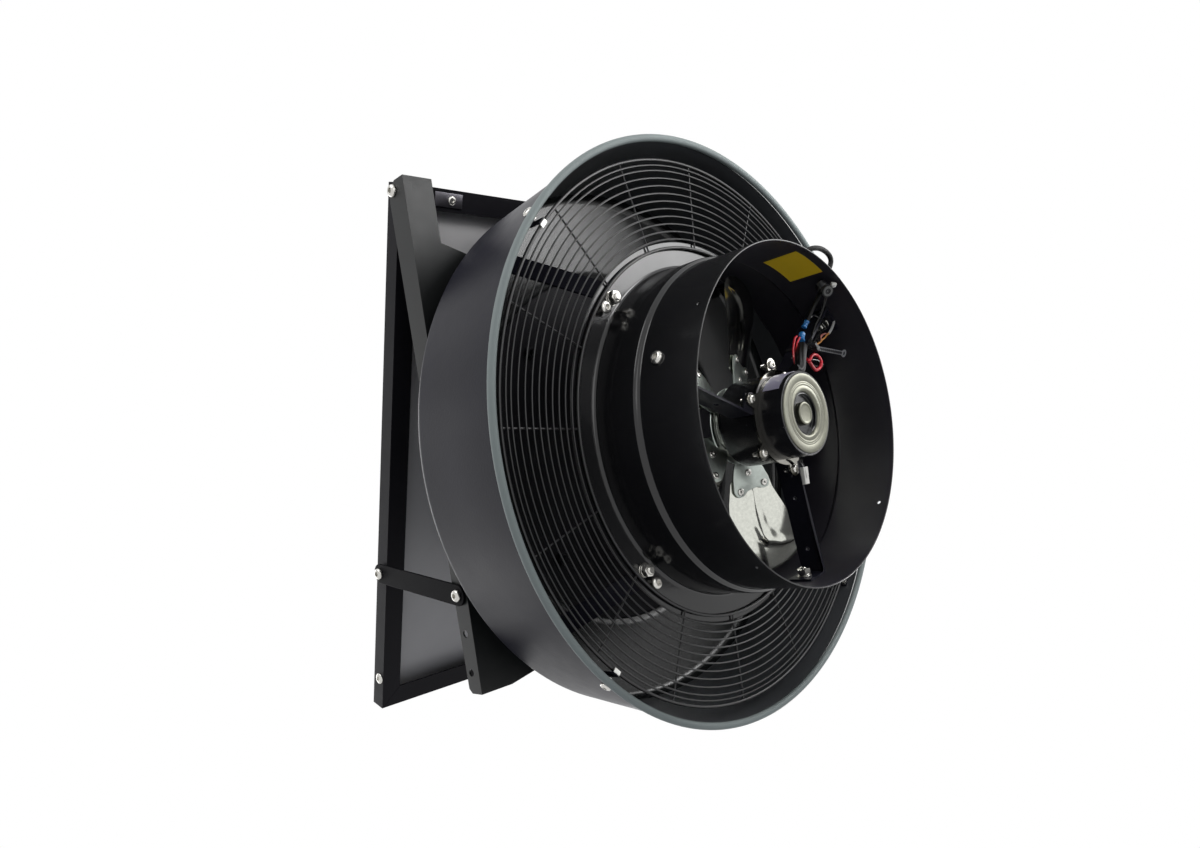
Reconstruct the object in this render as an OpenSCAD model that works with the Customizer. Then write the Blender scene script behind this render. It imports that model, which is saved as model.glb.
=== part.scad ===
// Solar roof ventilation fan: a throat collar that drops into the roof opening, a spun
// weather dome on four legs, a ring grille between them, a motor on three arms with a
// five-blade fan, and a tilting solar panel on a sheet-metal bracket above the dome.
// Z is the fan axis, up to the panel. The origin is on the axis, at the collar's bottom rim.

/* [Throat collar] */
// Outer radius of the lower tube
throat_r = 185; // [175:1:195]
// Sheet thickness of the collar
throat_wall = 1.5; // [1:0.1:2.5]
// Height where the tube steps out
throat_step_z = 72; // [66:1:78]
// Radial size of the step
throat_step_out = 4.5; // [3:0.5:6]
// Height of the collar's top face
throat_h = 133; // [130:1:140]
// Width of the top flange outside the upper tube
flange_w = 32.5; // [30:0.5:36]

/* [Dome] */
// Radius over the rolled rim
dome_r = 337; // [332:1:345]
// Sheet thickness of the dome
dome_wall = 1.5; // [1:0.1:2.5]
// How far the rim hangs below the collar's top face
rim_drop = 25; // [20:1:27]
// Radius of the rolled rim's bead
rim_bead_r = 4; // [3:0.5:6]
// How far the skirt draws in from the rim up to the shoulder
skirt_in = 18; // [14:0.5:22]
// Bend radius of the shoulder
shoulder_bend = 14; // [11:1:20]
// Height of the flat top over the collar's top face
dome_up = 158; // [153:1:163]
// Radius of the flat top
dome_flat_r = 219; // [205:1:225]

/* [Grille] */
// Distance of the inner ring's middle from the flange's edge
grille_lap = 7.5; // [6:0.5:9]
// Distance of the outer ring's middle from the dome's rim
grille_gap = 23; // [21:1:29]
// Thickness of the two edge rings
grille_edge = 5; // [4:0.5:6]
// Thickness of the thin wires
grille_wire = 2.6; // [2:0.1:3.2]
// Number of radial wires
grille_radials = 16; // [8:1:24]
// Number of thin rings at the even pitch
grille_rings = 9; // [6:1:9]

/* [Motor] */
// Radius of the motor can
motor_r = 45.7; // [42:0.1:47]
// Height of the can's lower end
motor_z = 4; // [3:0.5:8]
// Height of the motor, from the can's lower end to the rear cup's top
motor_h = 82; // [80:1:83]
// Height of the clamp ring over the can's lower end
clamp_up = 29; // [26:0.5:30]
// Distance of the ear screws from the can
ear_out = 12.3; // [11.3:0.1:14]
// Width of a motor arm, along the axis
arm_w = 28; // [24:1:28]
// Sheet thickness of a motor arm
arm_t = 2.5; // [2:0.1:3]
// Angle of the first motor arm
arm_angle = 20.5; // [15:0.5:25]

/* [Fan] */
// Gap between the blade tips and the collar
tip_gap = 6.5; // [5:0.5:18]
// Gap between the motor and the spider
fan_gap = 12; // [10:0.5:14]
// Pitch of the blades
pitch = 18.8; // [15:0.2:26]
// Number of blades
blades = 5; // [4:1:5]
// Blade sheet thickness
blade_t = 1.2; // [0.8:0.1:1.5]

/* [Panel] */
// Width of the solar panel
panel_w = 524; // [500:1:528]
// Length of the solar panel
panel_l = 646; // [620:1:670]
// Depth of the panel frame
panel_d = 21.5; // [20:0.5:25]
// Width of the frame's back lip
lip_w = 25; // [18:1:28]
// Tilt of the panel at rest
tilt = 19.9; // [19:0.1:21]

/* [Bracket] */
// Sheet thickness of the bracket
bracket_t = 2; // [1.5:0.1:2.5]
// Height of the side flanges over the bracket's lower face
bracket_h = 25; // [23:0.5:26]
// Height of the panel hinge over the bracket's lower face
hinge_up = 22.5; // [22:0.5:24]
// Distance of the panel hinge from the fan axis
hinge_y = 312.6; // [308:0.2:316]
// Distance of the first strap hole from the fan axis
strap_hole_out = 139.6; // [137:0.2:142]
// Width of a tilt strap
strap_w = 24; // [20:1:24]
// Sheet thickness of a tilt strap
strap_t = 3; // [2:0.5:4]

/* [Hidden] */
$fn = 48;

// Overrun of every cut
cut = 1;
// Seat gap between neighbouring pieces
seat = 0.2;
// Radial clearance of a bolt in its hole
bolt_gap = 0.25;
// Gap between two sheets that lie on each other
sheet_gap = 0.3;
// Running clearance of a pivot pin
pivot_gap = 0.08;

// Fastener sizes: shank radius, head radius, head height
m8_r = 4;
m8_head_r = 7;
m8_head_h = 4.4;
m8_nut_r = 7.5;
m8_nut_h = 6.5;
m8_washer_r = 8;
m5_r = 2.5;
m5_head_r = 4.75;
m5_head_h = 2.8;
m5_nut_r = 4.6;
m5_nut_h = 4;
m6_r = 3;
m6_head_h = 3.6;
m6_nut_r = 5.5;
m6_nut_h = 5;
washer_t = 1.4;
// How far a thread stands out of its nut
m8_over = 4;
m6_over = 2;
m5_over = 2;
ear_over = 2.5;
// How far a bolt reaches into the panel's frame
frame_reach = 10;
// Shares of a button head: top radius, socket radius and socket depth
head_top_share = 0.55;
socket_share = 0.42;
socket_deep_share = 0.6;

// Angles about the fan axis
leg_angle = 47.5;
clip_angle = 44.1;
ring_screw_angle = 42.3;
rim_hole_angle = 38.5;
radial_angle = 4.3;
wall_bolt_angle = 22.5;
blade_angle = -102.7;

// Throat collar details
throat_step_h = 4;
throat_bend = 4;
rim_hole_z = 12.5;
rim_hole_r = 2.2;
leg_bolt_out = 14.3;
ring_screw_in = 7.5;
throat_in = throat_r - throat_wall;
upper_r = throat_r + throat_step_out;
flange_r = upper_r + flange_w;
flange_z = throat_h - throat_wall;
leg_bolt_r = upper_r + leg_bolt_out;

// Dome details
shoulder_angle = 15;
dome_step = 3;
dome_step_run = 3;
clip_drop = 4;
clip_z = throat_h - clip_drop;
rim_join_share = 1.2;
skirt_r = dome_r - rim_join_share * rim_bead_r;
dome_top_z = throat_h + dome_up;
dome_rim_z = throat_h - rim_drop;
shoulder_r = dome_r - skirt_in;
shoulder_x = shoulder_r - shoulder_bend;
cone_r = shoulder_x + shoulder_bend * sin(shoulder_angle);
cone_z = dome_top_z - dome_step - (cone_r - dome_flat_r - dome_step_run) * tan(shoulder_angle);
shoulder_z = cone_z - shoulder_bend * cos(shoulder_angle);
bead_x = dome_r - rim_bead_r;
bead_z = dome_rim_z + rim_bead_r;
skirt_z = bead_z + rim_bead_r;
skirt_share = (skirt_r - shoulder_r) / (shoulder_z - skirt_z + rim_bead_r / 2);
clip_skirt_r = skirt_r - (clip_z - skirt_z + rim_bead_r / 2) * skirt_share;

// Grille details
grille_top = flange_z - seat;
grille_z = grille_top - grille_edge;
grille_in_r = flange_r - grille_lap;
grille_out_r = dome_r - grille_gap;
ring_screw_r = grille_in_r - ring_screw_in;
grille_near_gap = 6.5;
grille_next_gap = 12.5;
grille_first_gap = 21;
grille_last_gap = 9.5;
grille_run = grille_out_r - grille_first_gap - grille_in_r - grille_last_gap;
grille_pitch = grille_run / (grille_rings - 1);
radial_sink = 0.6;
grille_fall_share = 0.032;

// Motor details
cap_recess_r = 20.9;
cap_recess_wall = 2;
cap_recess_h = 5;
cap_boss_r = 12.6;
cap_boss_h = 4;
cap_t = 2;
cap_inset = 2.7;
cap_r = motor_r - cap_inset;
can_wall = 2;
clamp_t = 2.5;
clamp_w = 6.3;
clamp_r = motor_r + clamp_w;
clamp_z = motor_z + clamp_up;
motor_top_z = motor_z + motor_h;
ear_r = motor_r + ear_out;
ear_end_r = 7.5;
cup_wall = 2.5;
cup_r = motor_r + cup_wall;
cup_bore_r = 9;
cup_end_t = 4;
bearing_h = 7;
shaft_r = 5;
bearing_r = 11;
stator_r = motor_r - can_wall - seat;
stator_w = 17.5;
stator_in_r = stator_r - stator_w;
air_gap = 0.8;
rotor_r = stator_in_r - air_gap;
stator_up = 16;
stator_z = motor_z + stator_up;
stator_h = 44;
// Motor arm details
arm_off = 10;
arm_z = clamp_z + clamp_t + seat;
arm_start = 2.3;
arm_in_r = cup_r + arm_start;
wall_bolt_up = 15.3;
wall_bolt_z = arm_z + wall_bolt_up;
tab_t = 2.5;
tab_half = 9;
foot_l = 26;
arm_hole_r = 2.6;
arm_hole_rs = [94, 154];

// Fan details
hub_r = 19;
hub_neck = 5;
hub_low_r = hub_r - hub_neck;
hub_h = 16;
dish_r = 36;
dish_h = 6.3;
fan_z = motor_top_z + fan_gap;
tip_r = throat_in - tip_gap;
spider_t = 2;
spider_r = 44;
// Corners of a spider pad: distance along the blade, and half width
pad_in = 36;
pad_in_half = 11;
pad_neck = 58;
pad_neck_half = 22.5;
pad_wide = 73;
pad_wide_half = 26;
pad_out = 80.5;
pad_out_half = 22.5;
pad_ear_half = 15;
pad_notch = 76.5;
pad_notch_half = 7;
rivet_in_r = 56.3;
rivet_out_r = 74.4;
rivet_half = 17.4;
rivet_r = 2.4;
rivet_head_r = 4.2;
rivet_head_h = 1.4;
rivet_over = 3;
blade_root_r = 57;
root_half = 27;
root_cut = 8;
tip_half = 56;
// Shares of the tip radius and of the half width that place the blade's corners
lead_mid_share = 0.66;
lead_mid_half_share = 0.8;
lead_wide_share = 0.84;
lead_tip_half_share = 0.92;
trail_share = 0.8;
trail_half_share = 0.86;
trail_tip_half_share = 0.8;
camber_r = 210;
blade_lift = 0.3;

// Panel and bracket places
web_z = dome_top_z + sheet_gap;
hinge_z = web_z + hinge_up;
side_gap = 0.5;
flange_in = panel_w / 2 + side_gap;
flange_out = flange_in + bracket_t;
hinge_end = 10;
hinge_drop = 13.5;
pivot_along = 451;
pivot_drop = 1.5;
screw_in = 39.5;
screw_along = panel_l - hinge_end - screw_in;
strap_in = flange_out + sheet_gap;
strap_out = strap_in + strap_t;
strap_hole_pitch = 43.5;
strap_hole_y = -strap_hole_out;
bracket_low_run = 23.4;
bracket_low_y = strap_hole_y - 2 * strap_hole_pitch - bracket_low_run;
strap_hole_up = 13.8;
glass_t = 3.2;
back_t = 1;
frame_wall = 1.8;

// A regular step round the axis
module around(count, start) {
    for (i = [0:count - 1])
        rotate([0, 0, start + i * 360 / count])
            children();
}

// Button head screw pointing down its shank along -Z, head above Z = 0
module button_screw(r, head_r, head_h, length) {
    difference() {
        union() {
            cylinder(r = head_r, h = head_h * (1 - head_top_share));
            translate([0, 0, head_h * (1 - head_top_share)])
                cylinder(r1 = head_r, r2 = head_r * head_top_share, h = head_h * head_top_share);
            translate([0, 0, -length])
                cylinder(r = r, h = length + head_h * (1 - head_top_share));
        }
        translate([0, 0, head_h * (1 - socket_deep_share)])
            cylinder(r = head_r * socket_share, h = head_h, $fn = 6);
    }
}

// Hex nut standing on Z = 0 with a clear bore
module hex_nut(r, h, bore) {
    difference() {
        cylinder(r = r, h = h, $fn = 6);
        translate([0, 0, -cut])
            cylinder(r = bore, h = h + 2 * cut);
    }
}

// Flat washer standing on Z = 0
module washer(r, bore) {
    difference() {
        cylinder(r = r, h = washer_t);
        translate([0, 0, -cut])
            cylinder(r = bore, h = washer_t + 2 * cut);
    }
}

// Radial hole through the collar wall at an angle and a height
module wall_hole(a, z, r) {
    rotate([0, 0, a])
        translate([throat_in - 3 * cut, 0, z])
            rotate([0, 90, 0])
                cylinder(r = r, h = throat_wall + throat_step_out + 6 * cut);
}

gland_z = 26;
gland_angle = 127;
gland_r = 6;
gland_lip = 2;
module throat_collar() {
    color("#1c1c20")
    difference() {
        rotate_extrude($fn = 96)
            polygon([[throat_in, 0], [throat_r, 0], [throat_r, throat_step_z],
                [upper_r, throat_step_z + throat_step_h], [upper_r, flange_z - throat_bend],
                [upper_r + throat_bend, flange_z], [flange_r, flange_z], [flange_r, throat_h],
                [upper_r + throat_bend - throat_wall, throat_h],
                [upper_r - throat_wall, throat_h - throat_bend],
                [upper_r - throat_wall, throat_step_z + throat_step_h],
                [throat_in, throat_step_z]]);
        for (i = [0:3])
            wall_hole(rim_hole_angle + 90 * i, rim_hole_z, rim_hole_r);
        for (i = [0:2])
            wall_hole(wall_bolt_angle + 120 * i, wall_bolt_z, m8_r + bolt_gap);
        wall_hole(gland_angle, gland_z, gland_r);
        around(4, leg_angle)
            translate([leg_bolt_r, 0, flange_z - cut])
                cylinder(r = m8_r + bolt_gap, h = throat_wall + 2 * cut);
        around(4, ring_screw_angle)
            translate([ring_screw_r, 0, flange_z - cut])
                cylinder(r = m6_r + bolt_gap, h = throat_wall + 2 * cut);
        rotate([0, 0, cable_angle])
            translate([cable_up_r, 0, flange_z - cut])
                cylinder(r = cable_r + cable_gap, h = throat_wall + 2 * cut);
    }
}

// Outline of the dome wall, offset inwards by t from the outer face
function arc(cx, cz, r, a0, a1, n) =
    [for (i = [0:n]) [cx + r * cos(a0 + (a1 - a0) * i / n), cz + r * sin(a0 + (a1 - a0) * i / n)]];

module dome_hood() {
    color("#232327")
    difference() {
        union() {
            rotate_extrude($fn = 96)
                polygon(concat(
                    [[skirt_r, skirt_z - rim_bead_r / 2]],
                    arc(shoulder_x, shoulder_z, shoulder_bend, 0, 90 - shoulder_angle, 8),
                    [[dome_flat_r + dome_step_run, dome_top_z - dome_step],
                    [dome_flat_r, dome_top_z], [0, dome_top_z], [0, dome_top_z - dome_wall],
                    [dome_flat_r, dome_top_z - dome_wall],
                    [dome_flat_r + dome_step_run, dome_top_z - dome_step - dome_wall]],
                    arc(shoulder_x, shoulder_z, shoulder_bend - dome_wall, 90 - shoulder_angle, 0, 8),
                    [[skirt_r - dome_wall, skirt_z - rim_bead_r / 2]]));
            rotate_extrude($fn = 96)
                translate([bead_x, bead_z])
                    circle(r = rim_bead_r);
        }
        around(4, clip_angle)
            translate([clip_skirt_r, 0, clip_z])
                rotate([0, 90 - atan(skirt_share), 0])
                    cylinder(r = m5_r + bolt_gap, h = 4 * dome_wall, center = true);
        for (sx = [-1, 1], sy = [-1, 1])
            translate([sx * bolt_sq, sy * bolt_sq, dome_top_z - dome_wall - cut])
                cylinder(r = m8_r + bolt_gap, h = dome_wall + 2 * cut);
        rotate([0, 0, cable_angle])
            translate([cable_top_r, 0, cable_top_z - 4 * gland_lip])
                cylinder(r = gland_r, h = 8 * gland_lip);
    }
}

// Leg: foot on the flange, sloping strip, and a curved tab welded inside the shoulder
leg_w = 26;
leg_t = 2.5;
leg_foot_gap = 4.5;
leg_edge_gap = 6;
leg_foot_in = upper_r + leg_foot_gap;
leg_foot_out = flange_r - leg_edge_gap;
weld_gap = 0.4;
tab_low_angle = 4;
tab_high_angle = 46;
leg_meet_angle = 28;
module dome_leg(i) {
    tab_r = shoulder_bend - dome_wall - weld_gap;
    foot_z = throat_h + seat;
    meet = [shoulder_x + (tab_r - leg_t / 2) * cos(leg_meet_angle),
        shoulder_z + (tab_r - leg_t / 2) * sin(leg_meet_angle)];
    slope = atan2(meet[1] - foot_z, meet[0] - leg_foot_out);
    color("#1e1e22")
    rotate([0, 0, leg_angle + 90 * (i - 1)])
        difference() {
            rotate([90, 0, 0])
                translate([0, 0, -leg_w / 2])
                    linear_extrude(leg_w)
                        union() {
                            polygon([[leg_foot_in, foot_z], [leg_foot_out, foot_z], meet,
                                meet + leg_t * [-sin(slope), cos(slope)],
                                [leg_foot_out - leg_t * tan(slope / 2), foot_z + leg_t],
                                [leg_foot_in, foot_z + leg_t]]);
                            polygon(concat(
                                arc(shoulder_x, shoulder_z, tab_r, tab_low_angle, tab_high_angle, 6),
                                arc(shoulder_x, shoulder_z, tab_r - leg_t, tab_high_angle, tab_low_angle, 6)));
                        }
            translate([leg_bolt_r, 0, throat_h - cut])
                cylinder(r = m8_r + bolt_gap, h = leg_t + 3 * cut);
        }
}
module dome_leg_1() dome_leg(1);
module dome_leg_2() dome_leg(2);
module dome_leg_3() dome_leg(3);
module dome_leg_4() dome_leg(4);

// Bolts through the leg feet: heads above, nuts below the flange
module leg_bolts() {
    stack = throat_h + seat + leg_t;
    color("silver")
    around(4, leg_angle)
        translate([leg_bolt_r, 0, stack])
            button_screw(m8_r, m8_head_r, m8_head_h, stack - flange_z + washer_t + m8_nut_h + m8_over);
}
module leg_nuts() {
    color("silver")
    around(4, leg_angle)
        translate([leg_bolt_r, 0, flange_z - seat / 2 - washer_t - m8_nut_h]) {
            hex_nut(m8_nut_r, m8_nut_h, m8_r + bolt_gap / 2);
            translate([0, 0, m8_nut_h])
                washer(m8_washer_r, m8_r + bolt_gap / 2);
        }
}

// Square-section ring about the axis
module wire_ring(r, t, z) {
    translate([0, 0, z])
        difference() {
            cylinder(r = r + t / 2, h = t, $fn = 96);
            translate([0, 0, -cut])
                cylinder(r = r - t / 2, h = t + 2 * cut, $fn = 96);
        }
}
grille_rs = concat([grille_out_r - grille_near_gap, grille_out_r - grille_next_gap],
    [for (i = [0:grille_rings - 1]) grille_out_r - grille_first_gap - i * grille_pitch]);
function grille_low(r) = grille_z - (r - grille_in_r) * grille_fall_share;
module grille() {
    run = grille_out_r - grille_in_r;
    color("#17171a")
    union() {
        wire_ring(grille_in_r, grille_edge, grille_z);
        wire_ring(grille_out_r, grille_edge, grille_low(grille_out_r));
        for (r = grille_rs)
            wire_ring(r, grille_wire, grille_low(r));
        around(grille_radials, radial_angle)
            translate([grille_in_r, -grille_wire / 2, grille_z + grille_wire - radial_sink])
                rotate([0, atan(grille_fall_share), 0])
                    cube([run, grille_wire, grille_wire - seat]);
    }
}

// Clip from the outer ring to the skirt, with a saddle under the ring
clip_w = 9;
clip_t = 1.5;
clip_head_r = 6;
clip_strap_gap = 1.2;
clip_lap = 0.6;
module grille_clips() {
    ring_low = grille_low(grille_out_r);
    skirt_at = clip_skirt_r - dome_wall - 2 * seat;
    strap_z = clip_z + m5_nut_r + clip_strap_gap;
    strap_at = skirt_at - (strap_z - clip_z) * skirt_share;
    saddle_r = grille_out_r + grille_edge / 2 + seat * 3;
    color("gainsboro")
    around(4, clip_angle)
        difference() {
            union() {
                translate([saddle_r, -clip_w / 2, strap_z])
                    cube([strap_at - saddle_r - clip_t / 2, clip_w, clip_t]);
                translate([clip_skirt_r, 0, clip_z])
                    rotate([0, -atan(skirt_share), 0])
                        translate([-dome_wall - 2 * seat - clip_t, -clip_w / 2, -m5_head_r])
                            cube([clip_t, clip_w, m5_head_r + strap_z - clip_z + clip_t]);
                translate([saddle_r, -clip_w / 2, ring_low - seat - clip_t])
                    cube([clip_t, clip_w, strap_z - ring_low + seat + clip_t + clip_t]);
                translate([grille_out_r - grille_edge / 2 - clip_lap, -clip_w / 2, ring_low - seat - clip_t])
                    cube([grille_edge + clip_lap + clip_t, clip_w, clip_t]);
            }
            translate([clip_skirt_r, 0, clip_z])
                rotate([0, 90 - atan(skirt_share), 0])
                    cylinder(r = m5_r + bolt_gap, h = 4 * (dome_wall + clip_t), center = true);
        }
}
module grille_clip_screws() {
    color("silver")
    around(4, clip_angle)
        translate([clip_skirt_r, 0, clip_z])
            rotate([0, 90 - atan(skirt_share), 0]) {
                translate([0, 0, seat])
                    button_screw(m5_r, clip_head_r, m5_head_h, dome_wall + clip_t + 4 * seat + m5_nut_h + m5_over);
                translate([0, 0, -dome_wall - clip_t - 3 * seat - m5_nut_h])
                    hex_nut(m5_nut_r, m5_nut_h, m5_r + bolt_gap / 2);
            }
}
// Screws whose heads lap the grille's inner ring, with a sleeve up to the flange
sleeve_r = 4.4;
module grille_ring_screws() {
    color("silver")
    around(4, ring_screw_angle)
        translate([ring_screw_r, 0, 0]) {
            translate([0, 0, grille_z - seat])
                rotate([180, 0, 0])
                    button_screw(m6_r, m8_head_r, m6_head_h,
                        throat_h - grille_z + 2 * seat + m6_nut_h + m6_over);
            translate([0, 0, grille_z - seat / 2])
                grommet(sleeve_r, m6_r + bolt_gap / 2, flange_z - grille_z);
            translate([0, 0, throat_h + seat])
                hex_nut(m6_nut_r, m6_nut_h, m6_r + bolt_gap / 2);
        }
}

// Motor
module motor_can() {
    color("#151518")
    difference() {
        translate([0, 0, motor_z])
            cylinder(r = motor_r, h = motor_top_z - motor_z - cup_end_t - seat, $fn = 64);
        translate([0, 0, motor_z + cap_recess_h + cap_t])
            cylinder(r = motor_r - can_wall, h = motor_top_z, $fn = 64);
        translate([0, 0, motor_z - cut])
            cylinder(r = cap_recess_r + cap_recess_wall, h = 2 * cap_recess_h + 2 * cap_t);
        translate([0, 0, motor_z - cut])
            cylinder(r = cap_r + seat / 2, h = cut + cap_t, $fn = 64);
    }
}
module motor_end_cap() {
    color("#c9c8b8")
    difference() {
        union() {
            translate([0, 0, motor_z - cap_t / 2])
                cylinder(r = cap_r, h = cap_t * 1.5 - seat, $fn = 64);
            translate([0, 0, motor_z])
                cylinder(r = cap_recess_r + cap_recess_wall - seat, h = cap_recess_h + cap_t);
        }
        translate([0, 0, motor_z - cut - cap_t])
            cylinder(r = cap_recess_r, h = cut + cap_t + cap_recess_h);
    }
    color("#c9c8b8")
    translate([0, 0, motor_z])
        cylinder(r = cap_boss_r, h = cap_recess_h + cap_t);
    color("#c9c8b8")
    translate([0, 0, motor_z + cap_recess_h + cap_t - seat])
        grommet(bearing_r + can_wall, bearing_r + seat / 4, bearing_h);
}
module motor_rear_cup() {
    color("#1a1a1d")
    difference() {
        translate([0, 0, arm_z])
            cylinder(r = cup_r, h = motor_top_z - arm_z, $fn = 64);
        translate([0, 0, arm_z - cut])
            cylinder(r = motor_r + seat / 2, h = motor_top_z - arm_z - cup_end_t + cut, $fn = 64);
        translate([0, 0, arm_z])
            cylinder(r = cup_bore_r, h = motor_top_z);
    }
}
// Clamp ring with six ears, three for the arms and three for its own bolts
module motor_clamp_ring() {
    color("#3a3a3e")
    translate([0, 0, clamp_z])
        difference() {
            union() {
                cylinder(r = clamp_r, h = clamp_t, $fn = 64);
                around(6, wall_bolt_angle) {
                    translate([ear_r, 0, 0])
                        cylinder(r = ear_end_r, h = clamp_t);
                    translate([clamp_r - ear_end_r, -ear_end_r, 0])
                        cube([ear_r - clamp_r + ear_end_r, 2 * ear_end_r, clamp_t]);
                }
            }
            translate([0, 0, -cut])
                cylinder(r = motor_r + seat / 2, h = clamp_t + 2 * cut, $fn = 64);
            around(6, wall_bolt_angle)
                translate([ear_r, 0, -cut])
                    cylinder(r = m5_r + bolt_gap, h = clamp_t + 2 * cut);
        }
}
module motor_stator() {
    color("#b8742a")
    translate([0, 0, stator_z])
        difference() {
            cylinder(r = stator_r, h = stator_h);
            translate([0, 0, -cut])
                cylinder(r = stator_in_r, h = stator_h + 2 * cut);
        }
}
module motor_bearings() {
    color("silver")
    for (z = [motor_z + cap_recess_h + cap_t + seat, motor_top_z - cup_end_t - 2 * bearing_h])
        translate([0, 0, z])
            difference() {
                cylinder(r = bearing_r, h = bearing_h);
                translate([0, 0, -cut])
                    cylinder(r = shaft_r + pivot_gap, h = bearing_h + 2 * cut);
            }
    // Carrier plate of the upper bearing, held in the can
    color("silver")
    translate([0, 0, motor_top_z - cup_end_t - 2 * bearing_h])
        difference() {
            cylinder(r = motor_r - can_wall - seat, h = bearing_h / 2);
            translate([0, 0, -cut])
                cylinder(r = bearing_r + seat / 4, h = bearing_h + 2 * cut);
        }
}

// Motor arm: upright plate, bent tab at the motor and bent foot at the wall
module motor_arm(i) {
    foot_r = throat_in - seat;
    reach = sqrt(foot_r * foot_r - arm_off * arm_off) - arm_t;
    turn = wall_bolt_angle - arm_angle;
    color("#1b1b1e")
    rotate([0, 0, arm_angle + 120 * (i - 1)])
        difference() {
            union() {
                translate([arm_in_r, -arm_off - arm_t, arm_z])
                    cube([reach - arm_in_r, arm_t, arm_w]);
                translate([arm_in_r, -arm_off - arm_t, arm_z])
                    cube([ear_r + ear_end_r - arm_in_r, arm_off + arm_t + ear_end_r, tab_t]);
                rotate([0, 0, turn])
                    intersection() {
                        difference() {
                            cylinder(r = foot_r, h = arm_z + arm_w, $fn = 96);
                            translate([0, 0, -cut])
                                cylinder(r = foot_r - arm_t, h = arm_z + arm_w + 2 * cut, $fn = 96);
                        }
                        translate([0, -arm_off - arm_t - foot_l / 4, arm_z])
                            cube([throat_r, arm_off + arm_t + foot_l / 4 + foot_l / 2, arm_w]);
                    }
            }
            for (r = arm_hole_rs)
                translate([r, -arm_off - arm_t - cut, arm_z + arm_w / 2])
                    rotate([-90, 0, 0])
                        cylinder(r = arm_hole_r, h = arm_t + 2 * cut);
            rotate([0, 0, turn]) {
                translate([throat_in - 3 * arm_t, 0, wall_bolt_z])
                    rotate([0, 90, 0])
                        cylinder(r = m8_r + bolt_gap, h = 4 * arm_t);
                translate([ear_r, 0, arm_z - cut])
                    cylinder(r = m5_r + bolt_gap, h = tab_t + 2 * cut);
            }
            translate([0, 0, arm_z - cut])
                cylinder(r = cup_r + seat, h = arm_w + 2 * cut, $fn = 64);
        }
}
module motor_arm_1() motor_arm(1);
module motor_arm_2() motor_arm(2);
module motor_arm_3() motor_arm(3);

module ear_screws() {
    color("silver")
    around(6, wall_bolt_angle)
        translate([ear_r, 0, clamp_z - seat / 2])
            rotate([180, 0, 0])
                button_screw(m5_r, m5_head_r, m5_head_h, clamp_t + tab_t + m5_nut_h + ear_over);
}
module ear_nuts() {
    color("silver")
    for (i = [0:5])
        rotate([0, 0, wall_bolt_angle + 60 * i])
            translate([ear_r, 0, clamp_z + clamp_t + seat / 2 + (i % 2 == 0 ? tab_t + seat : 0)])
                hex_nut(m5_nut_r, m5_nut_h, m5_r + bolt_gap / 2);
}
module arm_wall_bolts() {
    color("silver")
    around(3, wall_bolt_angle)
        translate([throat_r + seat, 0, wall_bolt_z])
            rotate([0, 90, 0])
                button_screw(m8_r, m8_head_r, m8_head_h,
                    throat_wall + arm_t + washer_t + m8_nut_h + m8_over);
}
module arm_wall_nuts() {
    color("silver")
    around(3, wall_bolt_angle)
        translate([throat_in - arm_t - 2.5 * seat - washer_t - m8_nut_h, 0, wall_bolt_z])
            rotate([0, 90, 0]) {
                hex_nut(m8_nut_r, m8_nut_h, m8_r + bolt_gap / 2);
                translate([0, 0, m8_nut_h])
                    washer(m8_washer_r, m8_r + bolt_gap / 2);
            }
}

// Bare label plates, bent to the wall they sit on
label_t = 0.4;
module bent_label(r, a, sweep, z, h) {
    rotate([0, 0, a])
        intersection() {
            translate([0, 0, z])
                difference() {
                    cylinder(r = r + label_t, h = h, $fn = 64);
                    translate([0, 0, -cut])
                        cylinder(r = r, h = h + 2 * cut, $fn = 64);
                }
            translate([0, -r * sin(sweep / 2), z])
                cube([r + label_t + cut, 2 * r * sin(sweep / 2), h]);
        }
}
motor_label_angle = 70;
motor_label_sweep_angle = 62;
motor_label_z = 10;
motor_label_h = 20;
module motor_label() {
    color("#8f90a6")
    bent_label(motor_r + seat / 2, motor_label_angle, motor_label_sweep_angle, motor_label_z, motor_label_h);
}
wall_label_angle = 111;
wall_label_sweep_angle = 17;
wall_label_z = 11;
wall_label_h = 43;
module wall_label() {
    color("#b8a52c")
    bent_label(throat_in - seat - label_t, wall_label_angle, wall_label_sweep_angle, wall_label_z, wall_label_h);
}

// Tube swept along points, with round cross-sections square to the route
function unit(v) = v / norm(v);
function heading(p, i) = unit(p[min(i + 1, len(p) - 1)] - p[max(i - 1, 0)]);
function side(t) = abs(t[2]) < 0.9 ? unit(cross(t, [0, 0, 1])) : unit(cross(t, [1, 0, 0]));
module tube_along(p, r, n) {
    rings = [for (i = [0:len(p) - 1])
        let (t = heading(p, i), u = side(t), v = cross(u, t))
            for (k = [0:n - 1]) p[i] + r * (cos(360 * k / n) * u + sin(360 * k / n) * v)];
    last = len(p) - 1;
    walls = [for (i = [0:last - 1], k = [0:n - 1])
        each [[i * n + k, i * n + (k + 1) % n, (i + 1) * n + (k + 1) % n],
            [i * n + k, (i + 1) * n + (k + 1) % n, (i + 1) * n + k]]];
    ends = [for (k = [1:n - 2])
        each [[0, k + 1, k], [last * n, last * n + k, last * n + k + 1]]];
    polyhedron(points = rings, faces = concat(walls, ends));
}

// Routes of the wiring, points chosen by hand
cable_r = 3;
cable_angle = 116;
cable_gap = 1;
cable_up_out = 10.5;
cable_up_r = upper_r + cable_up_out;
cable_top_out = 31;
cable_top_r = dome_flat_r + cable_top_out;
lead_r = 5;
wire_r = 1.1;
cable_top_z = dome_top_z - dome_step
    - (cable_top_r - dome_flat_r - dome_step_run) * tan(shoulder_angle);
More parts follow.
